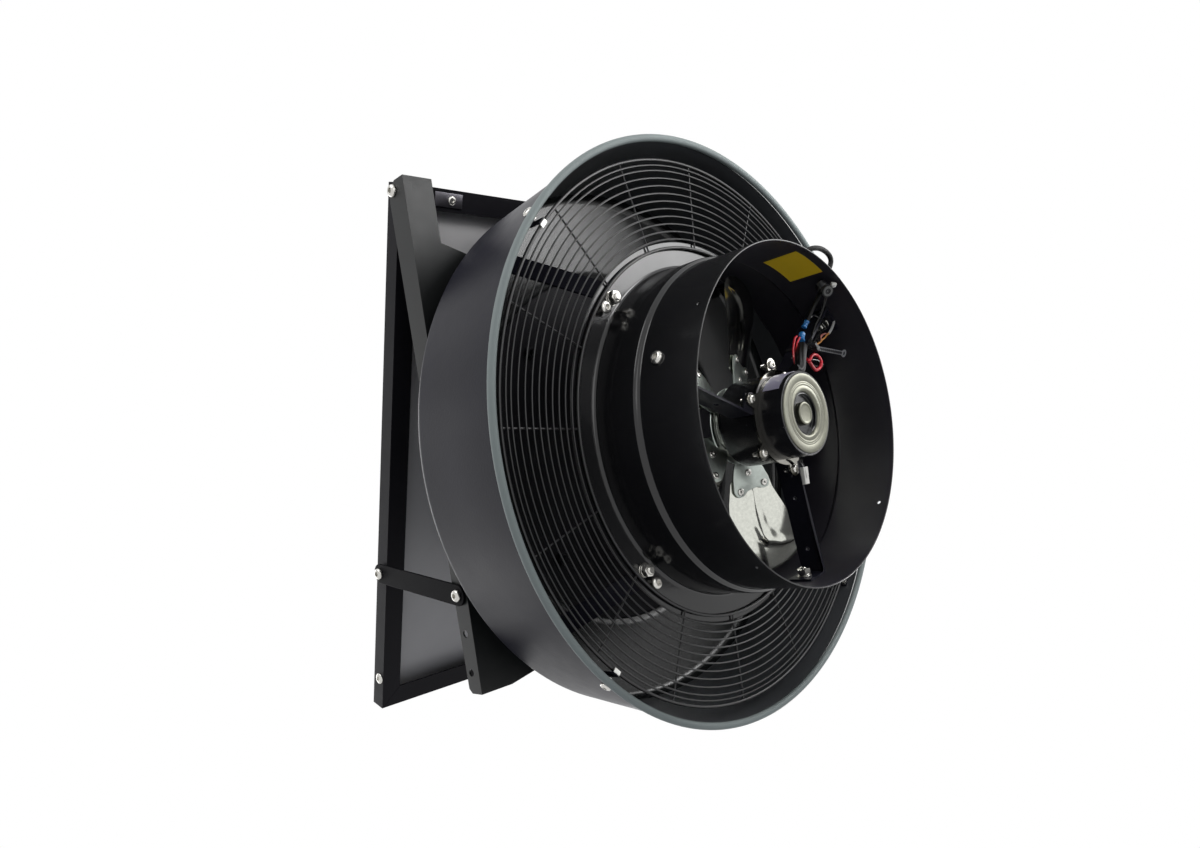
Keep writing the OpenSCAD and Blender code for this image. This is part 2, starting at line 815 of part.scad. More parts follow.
// The can and the wall as they stood when the routes were drawn
route_motor_r = 45.7;
route_wall_r = 185;
// A route point moved with the can when it is near it, and with the wall when it is near that
function fit(p) =
    let (r = norm([p[0], p[1]]),
        share = min(1, max(0, (r - route_motor_r) / (route_wall_r - route_motor_r))),
        grow = 1 + ((1 - share) * (motor_r - route_motor_r) + share * (throat_r - route_wall_r)) / r)
    [p[0] * grow, p[1] * grow, p[2]];
function fit_all(points) = [for (p = points) fit(p)];
function at_angle(a, r, z) = [r * cos(a), r * sin(a), z];
motor_lead_route = [[-11.46, 49.64, 18], [-18.26, 47.57, 18], [-25, 51, 18.5], [-32, 59, 21],
    [-40, 67, 24], [-48, 73, 27], [-54, 77, 30]];
socket_lead_route = [[-100.19, 145.58, 20.95], [-100.5, 147.2, 22.8], [-98.5, 148.5, 25.5], [-93, 147, 28.5],
    [-86, 142, 31], [-79, 133, 33], [-73, 115, 39], [-73, 102, 43], [-76, 96.5, 43.5], [-78.4, 97.2, 42.3]];
red_route_1 = [[-54.2, 77.2, 30.9], [-56, 80, 32], [-55, 86, 33], [-53.5, 91, 35.5], [-54, 95, 39],
    [-56, 93.5, 41], [-59.4, 91.15, 38.45]];
red_route_2 = [[-54.7, 76.7, 30.2], [-58, 77, 30.5], [-63, 73, 30], [-70, 72.2, 29.5],
    [-74.7, 76.1, 30], [-79.3, 79.9, 31], [-80, 86, 33], [-75, 89, 33.5], [-71, 90, 32.5],
    [-68.5, 90, 31.6]];
plug_lead_route = [[-7.92, -45.67, 24], [-11, -49, 26.5], [-14, -52.5, 27.5], [-15, -55, 26.8],
    [-15, -56.8, 26.2]];
cable_loop = [[-87.18, 108.23, 38.42], [-94, 120, 34], [-101, 132, 29], [-107, 142, 26],
    [-111.3, 147.7, 26], [-116, 154, 26], [-122, 162, 25], [-129, 171, 22], [-130, 179, 20], [-124, 186, 20],
    [-110, 190, 20],
    [-96, 190, 22], [-87, 187, 28], [-84, 184, 38], [-84, 182, 52], [-85, 181, 70], [-87, 180, 90]];
// Steps of the cable outside the collar, from the flange up to the dome
cable_lead = 20;
cable_bend = 17;
cable_near = 30;
cable_ease = 8.5;
cable_first_share = 0.12;
cable_mid_share = 0.45;
cable_end_z = cable_top_z - 3 * gland_lip - sheet_gap;
cable_rise_h = cable_top_z - cable_near - throat_h - cable_bend;
function cable_rise(share) = at_angle(cable_angle,
    cable_up_r + share * (cable_top_r - cable_ease - cable_up_r),
    throat_h + cable_bend + (2 * share + (1 - share) * share) / 2 * cable_rise_h);
cable_route = concat(fit_all(cable_loop), [
    at_angle(cable_angle, cable_up_r, throat_h - cable_lead), at_angle(cable_angle, cable_up_r, throat_h),
    at_angle(cable_angle, cable_up_r, throat_h + cable_bend),
    cable_rise(cable_first_share), cable_rise(cable_mid_share), cable_rise(1),
    at_angle(cable_angle, cable_top_r - cable_r / 2, cable_end_z - cable_r * 4),
    at_angle(cable_angle, cable_top_r, cable_end_z - cable_r * 2),
    at_angle(cable_angle, cable_top_r, cable_end_z)]);

module motor_lead() {
    color("#202024") {
        tube_along(fit_all(motor_lead_route), lead_r, 10);
        tube_along(fit_all(socket_lead_route), socket_lead_r, 8);
    }
}
module red_leads() {
    color("#c01830") {
        tube_along(fit_all(red_route_1), wire_r, 8);
        tube_along(fit_all(red_route_2), wire_r, 8);
        tube_along(fit_all(plug_lead_route), wire_r, 8);
    }
}
// Turn a piece drawn along +Z so that it points from one place to another
module aim(from, to) {
    d = to - from;
    translate(from)
        rotate([0, acos(d[2] / norm(d)), atan2(d[1], d[0])])
            children();
}
// Crimp connectors where the leads are spliced
splice_r = 3.2;
splice_ends = [[[-79, 98, 42], [-87, 108, 38.5]], [[-60, 91, 38], [-68, 90, 32]]];
module splice_connectors() {
    color("#2f7fc0")
    for (e = splice_ends)
        aim(fit(e[0]), fit(e[1]))
            cylinder(r = splice_r, h = norm(fit(e[1]) - fit(e[0])));
}
// Cable tie: a closed loop round the arm and the leads, and its toothed tail
tie_w = 4.5;
tie_t = 1.2;
tie_l = 62;
tie_tooth = 2.8;
tie_at = 106;
tie_drop = 11.7;
tie_low = arm_z - tie_drop;
tie_head = 7;
tie_head_share = 0.7;
tie_lift_angle = -6;
tie_turn_angle = 40;
tie_bare = 3;
module cable_tie() {
    color("#101012")
    rotate([0, 0, arm_angle + 120]) {
        translate([tie_at, -arm_off - arm_t - tie_t - seat, tie_low])
            difference() {
                cube([tie_w, arm_t + 2 * tie_t + 2 * seat, arm_z + arm_w + tie_t + seat - tie_low]);
                translate([-cut, tie_t, tie_t])
                    cube([tie_w + 2 * cut, arm_t + 2 * seat, arm_z + arm_w + seat - tie_low - tie_t]);
            }
        translate([tie_at - (tie_head - tie_w) / 2, -arm_off + tie_t + seat / 2, tie_low])
            cube([tie_head, tie_head * tie_head_share, tie_head]);
        translate([tie_at + tie_w / 2, -arm_off + tie_t + seat, tie_low + tie_t])
            rotate([0, tie_lift_angle, tie_turn_angle])
                union() {
                    cube([tie_l, tie_t, tie_w]);
                    for (i = [tie_bare:floor(tie_l / tie_tooth) - 1])
                        translate([i * tie_tooth, -tie_t / 2, -tie_t / 2])
                            cube([tie_t, 2 * tie_t, tie_w + tie_t]);
                }
    }
}
// Barrel socket on the wall side of the wiring, its open end down
socket_r = 7;
socket_pin_r = 1;
socket_bore_share = 0.48;
socket_lead_r = 1.6;
socket_front = [-94.5, 136.5, 10];
socket_back = [-101.56, 142.59, 20.44];
module dc_socket() {
    front = fit(socket_front);
    back = fit(socket_back);
    length = norm(back - front);
    color("#18181b")
    aim(front, back)
        union() {
            difference() {
                cylinder(r = socket_r, h = length);
                translate([0, 0, -cut])
                    cylinder(r = socket_r * socket_bore_share, h = length / 2 + cut);
            }
            cylinder(r = socket_pin_r, h = length / 2 + cut);
        }
}
plug_size = [9, 19, 4.5];
plug_top = [-15, -66.5, 28.4];
module two_pin_plug() {
    color("ivory")
    translate(fit(plug_top) - [plug_size[0] / 2, plug_size[1] / 2, plug_size[2]])
        cube(plug_size);
}
module solar_cable() {
    color("#141417")
    tube_along(cable_route, cable_r, 10);
}
// Rubber grommets where the cable passes the wall and the dome
module cable_glands() {
    color("#0e0e10")
    rotate([0, 0, gland_angle])
        translate([throat_in - gland_lip, 0, gland_z])
            rotate([0, 90, 0])
                grommet(gland_r - seat, cable_r + seat * 4, throat_wall + 2 * gland_lip);
    color("#0e0e10")
    rotate([0, 0, cable_angle])
        translate([cable_top_r, 0, cable_top_z - 3 * gland_lip])
            cylinder(r = gland_r - seat, h = 5 * gland_lip);
}
module grommet(r, bore, h) {
    difference() {
        cylinder(r = r, h = h);
        translate([0, 0, -cut])
            cylinder(r = bore, h = h + 2 * cut);
    }
}

// Rotating parts
module motor_shaft() {
    color("silver")
    translate([0, 0, motor_z + cap_recess_h + cap_t + seat])
        cylinder(r = shaft_r, h = fan_z + hub_h - motor_z - cap_recess_h - cap_t);
}
module motor_rotor() {
    color("#55565a")
    translate([0, 0, stator_z + seat])
        difference() {
            cylinder(r = rotor_r, h = stator_h - 2 * seat);
            translate([0, 0, -cut])
                cylinder(r = shaft_r + seat / 4, h = stator_h + 2 * cut);
        }
}
module fan_hub() {
    color("#b9bbbd")
    difference() {
        union() {
            translate([0, 0, fan_z + spider_t + seat])
                cylinder(r = hub_r, h = hub_h - spider_t);
            translate([0, 0, fan_z - seat - dish_h])
                cylinder(r = dish_r, h = dish_h);
            translate([0, 0, fan_z - dish_h])
                cylinder(r = hub_low_r, h = hub_h);
        }
        translate([0, 0, fan_z - hub_h])
            cylinder(r = shaft_r + seat / 4, h = 3 * hub_h);
    }
}
module blade_frame(i) {
    rotate([0, 0, blade_angle + 360 / blades * (i - 1)])
        translate([0, 0, fan_z + spider_t / 2])
            rotate([pitch, 0, 0])
                children();
}
module rivet_holes(r) {
    translate([rivet_in_r, 0, -hub_h])
        cylinder(r = r, h = 2 * hub_h);
    for (s = [-1, 1])
        translate([rivet_out_r, s * rivet_half, -hub_h])
            cylinder(r = r, h = 2 * hub_h);
}
module fan_spider() {
    color("#aeb8b2")
    difference() {
        union() {
            translate([0, 0, fan_z])
                cylinder(r = spider_r, h = spider_t);
            for (i = [1:blades])
                blade_frame(i)
                    translate([0, 0, -spider_t / 2])
                        linear_extrude(spider_t)
                            for (m = [0, 1])
                                mirror([0, m])
                                    polygon([[pad_in, -cut], [pad_in, pad_in_half],
                                        [pad_neck, pad_neck_half], [pad_wide, pad_wide_half],
                                        [pad_out, pad_out_half], [pad_out, pad_ear_half],
                                        [pad_notch, pad_notch_half], [pad_notch, -cut]]);
        }
        translate([0, 0, fan_z - hub_h])
            cylinder(r = hub_low_r + seat / 2, h = 2 * hub_h);
        for (i = [1:blades])
            blade_frame(i)
                rivet_holes(rivet_r + seat / 4);
    }
}
// Cambered blade: a slice of a tube wall cut to the blade's outline
module fan_blade(i) {
    color("#cfd2cc")
    blade_frame(i)
        difference() {
            intersection() {
                translate([0, 0, spider_t / 2 + blade_lift + camber_r])
                    rotate([0, 90, 0])
                        difference() {
                            cylinder(r = camber_r, h = tip_r, $fn = 96);
                            translate([0, 0, -cut])
                                cylinder(r = camber_r - blade_t, h = tip_r + 2 * cut, $fn = 96);
                        }
                translate([0, 0, -hub_h])
                    linear_extrude(4 * hub_h)
                        intersection() {
                            polygon([[blade_root_r, -root_half + root_cut],
                                [blade_root_r + root_cut, -root_half],
                                [tip_r * lead_mid_share, -tip_half * lead_mid_half_share],
                                [tip_r * lead_wide_share, -tip_half],
                                [tip_r + cut, -tip_half * lead_tip_half_share],
                                [tip_r + cut, tip_half * trail_tip_half_share],
                                [tip_r * trail_share, tip_half * trail_half_share],
                                [blade_root_r + root_cut, root_half],
                                [blade_root_r, root_half - root_cut]]);
                            circle(r = tip_r, $fn = 96);
                        }
            }
            rivet_holes(rivet_r + seat / 4);
        }
}
module fan_blade_1() fan_blade(1);
module fan_blade_2() fan_blade(2);
module fan_blade_3() fan_blade(3);
module fan_blade_4() fan_blade(4);
module fan_blade_5() { if (blades > 4) fan_blade(5); }
module one_rivet() {
    translate([0, 0, -spider_t / 2 - rivet_head_h - seat / 2])
        cylinder(r = rivet_head_r, h = rivet_head_h);
    translate([0, 0, -spider_t / 2 - rivet_head_h])
        cylinder(r = rivet_r, h = spider_t + blade_lift + blade_t + rivet_head_h + rivet_over);
}
module blade_rivets() {
    color("silver")
    for (i = [1:blades])
        blade_frame(i) {
            translate([rivet_in_r, 0, 0])
                one_rivet();
            for (s = [-1, 1])
                translate([rivet_out_r, s * rivet_half, 0])
                    one_rivet();
        }
}

// Bracket over the dome: a wide web with a flange on each side
bolt_sq = 125;
notch_gap = 37.5;
notch_x = flange_out - notch_gap;
notch_y = 251;
notch_in_x = 110;
notch_in_y = 216;
low_gap = 42.5;
low_x = flange_out - low_gap;
low_in_x = 100;
low_in_run = 22;
low_in_y = bracket_low_y + low_in_run;
ear_run = 10.4;
ear_y = hinge_y + ear_run;
end_drop = 2.5;
ear_rise = 6.5;
flange_end_h = bracket_h - end_drop;
flange_top_h = bracket_h + ear_rise;
// Corner cuts of the side flanges
ear_cut = 8;
ear_cut_drop = 14;
ear_ease = 2;
ear_flat = 22;
end_cut = 5;
module web_shape() {
    polygon([[-flange_out, bracket_low_y], [-low_x, bracket_low_y], [-low_in_x, low_in_y],
        [low_in_x, low_in_y], [low_x, bracket_low_y], [flange_out, bracket_low_y],
        [flange_out, ear_y], [notch_x, ear_y], [notch_x, notch_y], [notch_in_x, notch_in_y],
        [-notch_in_x, notch_in_y], [-notch_x, notch_y], [-notch_x, ear_y], [-flange_out, ear_y]]);
}
module flange_shape() {
    difference() {
        polygon([[bracket_low_y, 0], [ear_y, 0], [ear_y, flange_top_h - ear_cut_drop],
            [ear_y - ear_cut, flange_top_h - ear_ease], [ear_y - ear_flat, flange_top_h],
            [strap_hole_y, bracket_h], [bracket_low_y + end_cut, flange_end_h],
            [bracket_low_y, flange_end_h - end_cut]]);
        translate([hinge_y, hinge_up])
            circle(r = m8_r + pivot_gap);
        for (i = [0:2])
            translate([strap_hole_y - i * strap_hole_pitch, strap_hole_up])
                circle(r = m8_r + bolt_gap);
    }
}
module panel_bracket() {
    color("#202024")
    translate([0, 0, web_z])
        union() {
            difference() {
                linear_extrude(bracket_t)
                    web_shape();
                for (sx = [-1, 1], sy = [-1, 1])
                    translate([sx * bolt_sq, sy * bolt_sq, -cut])
                        cylinder(r = m8_r + bolt_gap, h = bracket_t + 2 * cut);
            }
            for (x = [-flange_out, flange_in])
                translate([x, 0, 0])
                    rotate([90, 0, 90])
                        linear_extrude(bracket_t)
                            flange_shape();
        }
}
module bracket_bolts() {
    color("silver")
    for (sx = [-1, 1], sy = [-1, 1])
        translate([sx * bolt_sq, sy * bolt_sq, 0]) {
            translate([0, 0, web_z + bracket_t + seat])
                button_screw(m8_r, m8_head_r, m8_head_h, bracket_t + dome_wall + m8_nut_h + m8_over);
            translate([0, 0, dome_top_z - dome_wall - seat - m8_nut_h])
                hex_nut(m8_nut_r, m8_nut_h, m8_r + bolt_gap / 2);
        }
}

// Panel pieces, drawn flat with the hinge axis at the origin and then tilted
module on_panel() {
    translate([0, hinge_y, hinge_z])
        rotate([-tilt, 0, 0])
            children();
}
face_z = hinge_drop;
back_z = hinge_drop - panel_d;
stack_z = face_z - frame_wall / 2 - glass_t - back_t;
panel_top = hinge_end;
panel_low = hinge_end - panel_l;
// Section of a frame rail: outer wall, glass lip and back lip, from the outer face inwards
module rail_section() {
    polygon([[0, back_z], [lip_w, back_z], [lip_w, back_z + frame_wall],
        [frame_wall, back_z + frame_wall], [frame_wall, stack_z - frame_wall],
        [lip_w / 3, stack_z - frame_wall], [lip_w / 3, stack_z], [frame_wall, stack_z],
        [frame_wall, face_z - frame_wall / 2], [lip_w / 3, face_z - frame_wall / 2],
        [lip_w / 3, face_z], [0, face_z]]);
}
// Wedge that leaves one side rail its mitred ends
module side_wedge() {
    linear_extrude(4 * panel_d, center = true)
        polygon([[-panel_w / 2 - cut, panel_top + cut], [-panel_w / 2 - cut, panel_low - cut],
            [0, panel_low + panel_w / 2], [0, panel_top - panel_w / 2]]);
}
module frame_rails_side() {
    color("#1d1e21")
    on_panel()
        for (m = [0, 1])
            mirror([m, 0, 0])
                difference() {
                    intersection() {
                        translate([-panel_w / 2, panel_top, 0])
                            rotate([90, 0, 0])
                                linear_extrude(panel_l)
                                    rail_section();
                        side_wedge();
                    }
                    for (p = [[0, 0], [-pivot_along, -pivot_drop], [-screw_along, 0]])
                        translate([-panel_w / 2 - cut, p[0], p[1]])
                            rotate([0, 90, 0])
                                cylinder(r = m8_r + bolt_gap / 2, h = frame_wall + 2 * cut);
                }
}
module end_wedge() {
    linear_extrude(4 * panel_d, center = true)
        polygon([[-panel_w / 2 + seat - cut, panel_top + cut], [panel_w / 2 - seat + cut, panel_top + cut],
            [seat, panel_top - panel_w / 2 + seat], [-seat, panel_top - panel_w / 2 + seat]]);
}
module frame_rails_end() {
    color("#1d1e21")
    on_panel()
        for (m = [0, 1])
            translate([0, m * (panel_top + panel_low), 0])
                mirror([0, m, 0])
                    intersection() {
                        translate([-panel_w / 2, panel_top, 0])
                            rotate([90, 0, 90])
                                linear_extrude(panel_w)
                                    mirror([1, 0])
                                        rail_section();
                        translate([0, seat * sqrt(2), 0])
                            end_wedge();
                    }
}
module panel_laminate() {
    inset = frame_wall + seat;
    color("#141b33")
    on_panel()
        translate([-panel_w / 2 + inset, panel_low + inset, face_z - frame_wall / 2 - glass_t])
            cube([panel_w - 2 * inset, panel_l - 2 * inset, glass_t - seat / 2]);
}
module panel_backsheet() {
    inset = frame_wall + seat;
    color("#8b8f93")
    on_panel()
        translate([-panel_w / 2 + inset, panel_low + inset,
            stack_z + seat])
            cube([panel_w - 2 * inset, panel_l - 2 * inset, back_t - seat]);
}
box_size = [110, 62, 14];
box_y = -130;
box_gland_shares = [0.3, 0.7];
module junction_box() {
    color("#141416")
    on_panel()
        translate([-box_size[0] / 2, box_y - box_size[1] / 2, stack_z - box_size[2]]) {
            cube(box_size);
            for (s = box_gland_shares)
                translate([box_size[0] * s, 0, box_size[2] / 2])
                    rotate([90, 0, 0])
                        cylinder(r = gland_r, h = 3 * gland_lip);
        }
}
// Small plates on the hinge-side rail
plate_size = [38, 16, 2];
plate_x = 197;
plate_in = 4;
module rail_plates() {
    color("#26272b")
    on_panel()
        for (s = [-1, 1])
            translate([s * plate_x - plate_size[0] / 2, panel_top - plate_size[1] - plate_in,
                back_z - plate_size[2] - seat / 2])
                cube(plate_size);
    color("silver")
    on_panel()
        for (s = [-1, 1])
            translate([s * (plate_x - plate_in), panel_top - plate_size[1] / 2 - plate_in,
                back_z - plate_size[2] - seat])
                rotate([180, 0, 0])
                    button_screw(m5_r, m5_head_r, m5_head_h, 0);
}
module side_bolt(x, r, head_r, head_h, length, m) {
    mirror([m, 0, 0])
        translate([x, 0, 0])
            rotate([0, 90, 0])
                button_screw(r, head_r, head_h, length);
}
module frame_screws() {
    color("silver")
    on_panel()
        for (m = [0, 1])
            translate([0, -screw_along, 0])
                side_bolt(panel_w / 2 + seat / 2, m8_r, m8_head_r,
                    strap_in - panel_w / 2 - 2 * seat, frame_wall + frame_reach, m);
}
module hinge_bolts() {
    color("silver")
    on_panel()
        for (m = [0, 1])
            side_bolt(flange_out + seat, m8_r, m8_head_r, m8_head_h,
                flange_out - panel_w / 2 + frame_wall + frame_reach, m);
}
module strap_upper_bolts() {
    color("silver")
    on_panel()
        for (m = [0, 1])
            translate([0, -pivot_along, -pivot_drop]) {
                side_bolt(strap_out + seat, m8_r, m8_head_r, m8_head_h,
                    strap_out - panel_w / 2 + frame_wall + frame_reach, m);
                mirror([m, 0, 0])
                    translate([panel_w / 2 + seat / 2, 0, 0])
                        rotate([0, 90, 0])
                            difference() {
                                cylinder(r = m8_head_r, h = strap_in - panel_w / 2 - seat);
                                translate([0, 0, -cut])
                                    cylinder(r = m8_r + seat, h = strap_in);
                            }
            }
}

// Tilt straps: the upper bolt is on the panel, the lower one drops to the bracket's first hole
pivot_y = hinge_y - pivot_along * cos(tilt) - pivot_drop * sin(tilt);
pivot_z = hinge_z + pivot_along * sin(tilt) - pivot_drop * cos(tilt);
strap_drop = pivot_z - web_z - strap_hole_up;
strap_back = pivot_y - strap_hole_y;
strap_l = norm([strap_back, strap_drop]);
strap_lean = atan2(strap_back, strap_drop);
module on_strap() {
    translate([0, pivot_y, pivot_z])
        rotate([-strap_lean, 0, 0])
            children();
}
module tilt_strap(x) {
    color("#1d1d20")
    on_strap()
        translate([x, 0, 0])
            rotate([0, 90, 0])
                difference() {
                    union() {
                        cylinder(r = strap_w / 2, h = strap_t);
                        translate([0, -strap_w / 2, 0])
                            cube([strap_l, strap_w, strap_t]);
                        translate([strap_l, 0, 0])
                            cylinder(r = strap_w / 2, h = strap_t);
                    }
                    translate([0, 0, -cut])
                        cylinder(r = m8_r + pivot_gap, h = strap_t + 2 * cut);
                    translate([strap_l, 0, -cut])
                        cylinder(r = m8_r + bolt_gap / 2, h = strap_t + 2 * cut);
                }
}
module tilt_strap_right() tilt_strap(strap_in);
module tilt_strap_left() tilt_strap(-strap_out);
module strap_bolt(m) {
    color("silver")
    on_strap()
        translate([0, 0, -strap_l])
            side_bolt(strap_out + seat / 2, m8_r, m8_head_r, m8_head_h, strap_t, m);
}
module strap_bolt_right() strap_bolt(0);
module strap_bolt_left() strap_bolt(1);

throat_collar();
dome_hood();
dome_leg_1();
dome_leg_2();
dome_leg_3();
dome_leg_4();
leg_bolts();
leg_nuts();
grille();
grille_clips();
grille_clip_screws();
grille_ring_screws();
motor_can();
motor_end_cap();
motor_rear_cup();
motor_clamp_ring();
motor_stator();
motor_bearings();
motor_arm_1();
motor_arm_2();
motor_arm_3();
ear_screws();
ear_nuts();
arm_wall_bolts();
arm_wall_nuts();
motor_label();
motor_lead();
splice_connectors();
red_leads();
cable_tie();
dc_socket();
two_pin_plug();
solar_cable();
cable_glands();
wall_label();
motor_shaft();
motor_rotor();
fan_hub();
fan_spider();
fan_blade_1();
fan_blade_2();
fan_blade_3();
fan_blade_4();
fan_blade_5();
blade_rivets();
panel_bracket();
bracket_bolts();
frame_rails_side();
frame_rails_end();
panel_laminate();
panel_backsheet();
junction_box();
rail_plates();
frame_screws();
hinge_bolts();
strap_upper_bolts();
tilt_strap_left();
tilt_strap_right();
strap_bolt_left();
strap_bolt_right();
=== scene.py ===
import math

import bmesh
import bpy
from mathutils import Matrix, Vector


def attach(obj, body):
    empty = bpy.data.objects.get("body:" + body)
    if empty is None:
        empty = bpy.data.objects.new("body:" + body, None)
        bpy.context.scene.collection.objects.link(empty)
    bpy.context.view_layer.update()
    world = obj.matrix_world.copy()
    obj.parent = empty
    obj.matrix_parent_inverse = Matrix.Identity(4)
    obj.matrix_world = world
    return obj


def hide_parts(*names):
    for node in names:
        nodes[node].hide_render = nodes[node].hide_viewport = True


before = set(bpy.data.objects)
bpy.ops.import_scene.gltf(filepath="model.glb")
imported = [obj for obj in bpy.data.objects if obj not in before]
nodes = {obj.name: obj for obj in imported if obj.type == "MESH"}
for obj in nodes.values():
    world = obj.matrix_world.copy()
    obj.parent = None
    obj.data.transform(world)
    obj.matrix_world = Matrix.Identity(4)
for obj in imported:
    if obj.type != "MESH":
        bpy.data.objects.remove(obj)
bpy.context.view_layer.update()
scene = bpy.context.scene

# The pieces below are drawn in millimetres
mm = 0.001

# Camera at the photograph's viewing angle
picture_width_px = 1200.0
focal_px = 839.47
centre_below_middle_px = 56.0
sensor_width = 36.0
turn = Matrix(((-0.7071616, -0.1505550, -0.6908369), (0.1127834, -0.9885754, 0.0999929),
    (-0.6979988, -0.0072038, 0.7160627)))
shift = Vector((0.222000, -0.071606, 0.889948))
place = -(turn.transposed() @ shift)
camera_data = bpy.data.cameras.new("camera")
camera = bpy.data.objects.new("camera", camera_data)
scene.collection.objects.link(camera)
axes = Matrix((turn[0], -turn[1], -turn[2])).transposed()
camera.matrix_world = Matrix.Translation(place) @ axes.to_4x4()
camera_data.sensor_fit = "HORIZONTAL"
camera_data.sensor_width = sensor_width
camera_data.lens = sensor_width * focal_px / picture_width_px
camera_data.shift_y = centre_below_middle_px / picture_width_px
camera_data.clip_start = 0.01
camera_data.clip_end = 50.0
scene.camera = camera


# Materials
def new_material(name):
    m = bpy.data.materials.new(name)
    m.use_nodes = True
    return m, m.node_tree, m.node_tree.nodes["Principled BSDF"]


def add_node(tree, kind, **values):
    n = tree.nodes.new(kind)
    for key, value in values.items():
        setattr(n, key, value)
    return n


def noise(tree, scale, detail, rough=0.55):
    coord = add_node(tree, "ShaderNodeTexCoord")
    n = add_node(tree, "ShaderNodeTexNoise")
    n.inputs["Scale"].default_value = scale
    n.inputs["Detail"].default_value = detail
    n.inputs["Roughness"].default_value = rough
    tree.links.new(coord.outputs["Object"], n.inputs["Vector"])
    return n.outputs["Fac"]


def ramp(tree, fac, stops):
    """A colour band from two stops, each a place and a colour."""
    r = add_node(tree, "ShaderNodeValToRGB")
    for element, (at, colour) in zip(r.color_ramp.elements, stops):
        element.position = at
        element.color = (*colour, 1.0)
    tree.links.new(fac, r.inputs["Fac"])
    return r.outputs["Color"]


def spread(tree, fac, low, high):
    r = add_node(tree, "ShaderNodeMapRange")
    r.inputs["To Min"].default_value = low
    r.inputs["To Max"].default_value = high
    tree.links.new(fac, r.inputs["Value"])
    return r.outputs["Result"]


def bump(tree, shader, height, strength, distance):
    b = add_node(tree, "ShaderNodeBump")
    b.inputs["Strength"].default_value = strength
    b.inputs["Distance"].default_value = distance
    tree.links.new(height, b.inputs["Height"])
    tree.links.new(b.outputs["Normal"], shader.inputs["Normal"])


def shade(colour, k):
    return tuple(v * k for v in colour)


def paint(name, colour, rough=(0.32, 0.42), peel=1.0, peel_scale=420.0, specular=0.5, vary=0.18):
    """Paint, plastic or rubber: blotches in its colour and roughness, and a fine orange peel."""
    m, tree, s = new_material(name)
    blotches = [(0.3, shade(colour, 1 - vary)), (0.7, shade(colour, 1 + vary))]
    tree.links.new(ramp(tree, noise(tree, 9.0, 4.0), blotches), s.inputs["Base Color"])
    tree.links.new(spread(tree, noise(tree, 60.0, 5.0), *rough), s.inputs["Roughness"])
    s.inputs["Specular IOR Level"].default_value = specular
    bump(tree, s, noise(tree, peel_scale, 2.0), 0.25 * peel, 0.0004)
    return m


def metal(name, colour, rough=(0.18, 0.32), lines=0.15):
    """Bare metal with a fine grain in its colour and surface."""
    m, tree, s = new_material(name)
    grain = noise(tree, 260.0, 4.0, 0.6)
    tree.links.new(ramp(tree, grain, [(0.25, shade(colour, 0.9)), (0.75, shade(colour, 1.1))]),
        s.inputs["Base Color"])
    tree.links.new(spread(tree, noise(tree, 70.0, 4.0), *rough), s.inputs["Roughness"])
    s.inputs["Metallic"].default_value = 1.0
    bump(tree, s, grain, lines, 0.0002)
    return m


black_paint = paint("black_paint", (0.0138, 0.0136, 0.0205), specular=0.09)
frame_black = paint("frame_black", (0.009, 0.0085, 0.011), rough=(0.35, 0.5), peel=0.6, peel_scale=900.0,
    specular=0.08)
strap_black = paint("strap_black", (0.0035, 0.0034, 0.0045), rough=(0.4, 0.5), peel=0.6, specular=0.04)
wire_black = paint("wire_black", (0.012, 0.012, 0.013), rough=(0.3, 0.4), peel=0.5)
zinc = metal("zinc", (0.56, 0.55, 0.52))
steel = metal("steel", (0.5, 0.5, 0.48), rough=(0.25, 0.4))
clip_metal = metal("clip_metal", (0.75, 0.75, 0.72), rough=(0.3, 0.5))
blade_metal = metal("blade_metal", (0.66, 0.67, 0.61), rough=(0.07, 0.16), lines=0.04)
cap_metal = metal("cap_metal", (0.15, 0.15, 0.12), rough=(0.25, 0.4))
copper = metal("copper", (0.5, 0.22, 0.09))
iron = metal("iron", (0.15, 0.15, 0.15), rough=(0.4, 0.6))
rubber = paint("rubber", (0.011, 0.011, 0.011), rough=(0.45, 0.6), peel=0.4, specular=0.2)
plastic = paint("plastic", (0.013, 0.013, 0.014), rough=(0.4, 0.5), peel=0.4, specular=0.3)
red = paint("red", (0.5, 0.012, 0.025), rough=(0.3, 0.4), peel=0.2)
blue = paint("blue", (0.015, 0.16, 0.42), rough=(0.25, 0.35), peel=0.2)
white = paint("white", (0.75, 0.74, 0.68), rough=(0.35, 0.45), peel=0.2, vary=0.05)
yellow = paint("yellow", (0.85, 0.58, 0.022), rough=(0.35, 0.45), peel=0.2, vary=0.06)
silver_label = paint("silver_label", (0.42, 0.4, 0.52), rough=(0.3, 0.4), peel=0.2, vary=0.1)
backsheet = paint("backsheet", (0.56, 0.55, 0.55), rough=(0.3, 0.42), peel=0.3, vary=0.06)
glass = paint("glass", (0.006, 0.01, 0.03), rough=(0.05, 0.09), peel=0.05, vary=0.3)
dome_gloss = paint("dome_gloss", (0.012, 0.013, 0.013), rough=(0.17, 0.22), peel=0.12)
collar_paint = paint("collar_paint", (0.01, 0.01, 0.011), rough=(0.13, 0.2), peel=0.3)
# The dome's rolled rim in a matte mid-grey instead of the dome's black: a painted reflection along the bead
rim_painted_reflection = paint("rim_painted_reflection", (0.225, 0.26, 0.255), rough=(0.55, 0.65), peel=1.6, peel_scale=700.0,
    vary=0.08)
# Inside of the skirt: a lighter grey than the dome's black, a painted sheen of reflected light
skirt_inside_painted_sheen = paint("skirt_inside_painted_sheen", (0.06, 0.063, 0.067), rough=(0.35, 0.45), peel=0.5, specular=0.45)
dome_crown = paint("dome_crown", (0.014, 0.0135, 0.016), rough=(0.3, 0.4), peel=0.3, specular=0.06)
collar_inside = paint("collar_inside", (0.0175, 0.016, 0.0215), rough=(0.36, 0.46), peel=0.8, specular=0.4)
can_paint = paint("can_paint", (0.012, 0.012, 0.014), rough=(0.22, 0.3), peel=0.5)
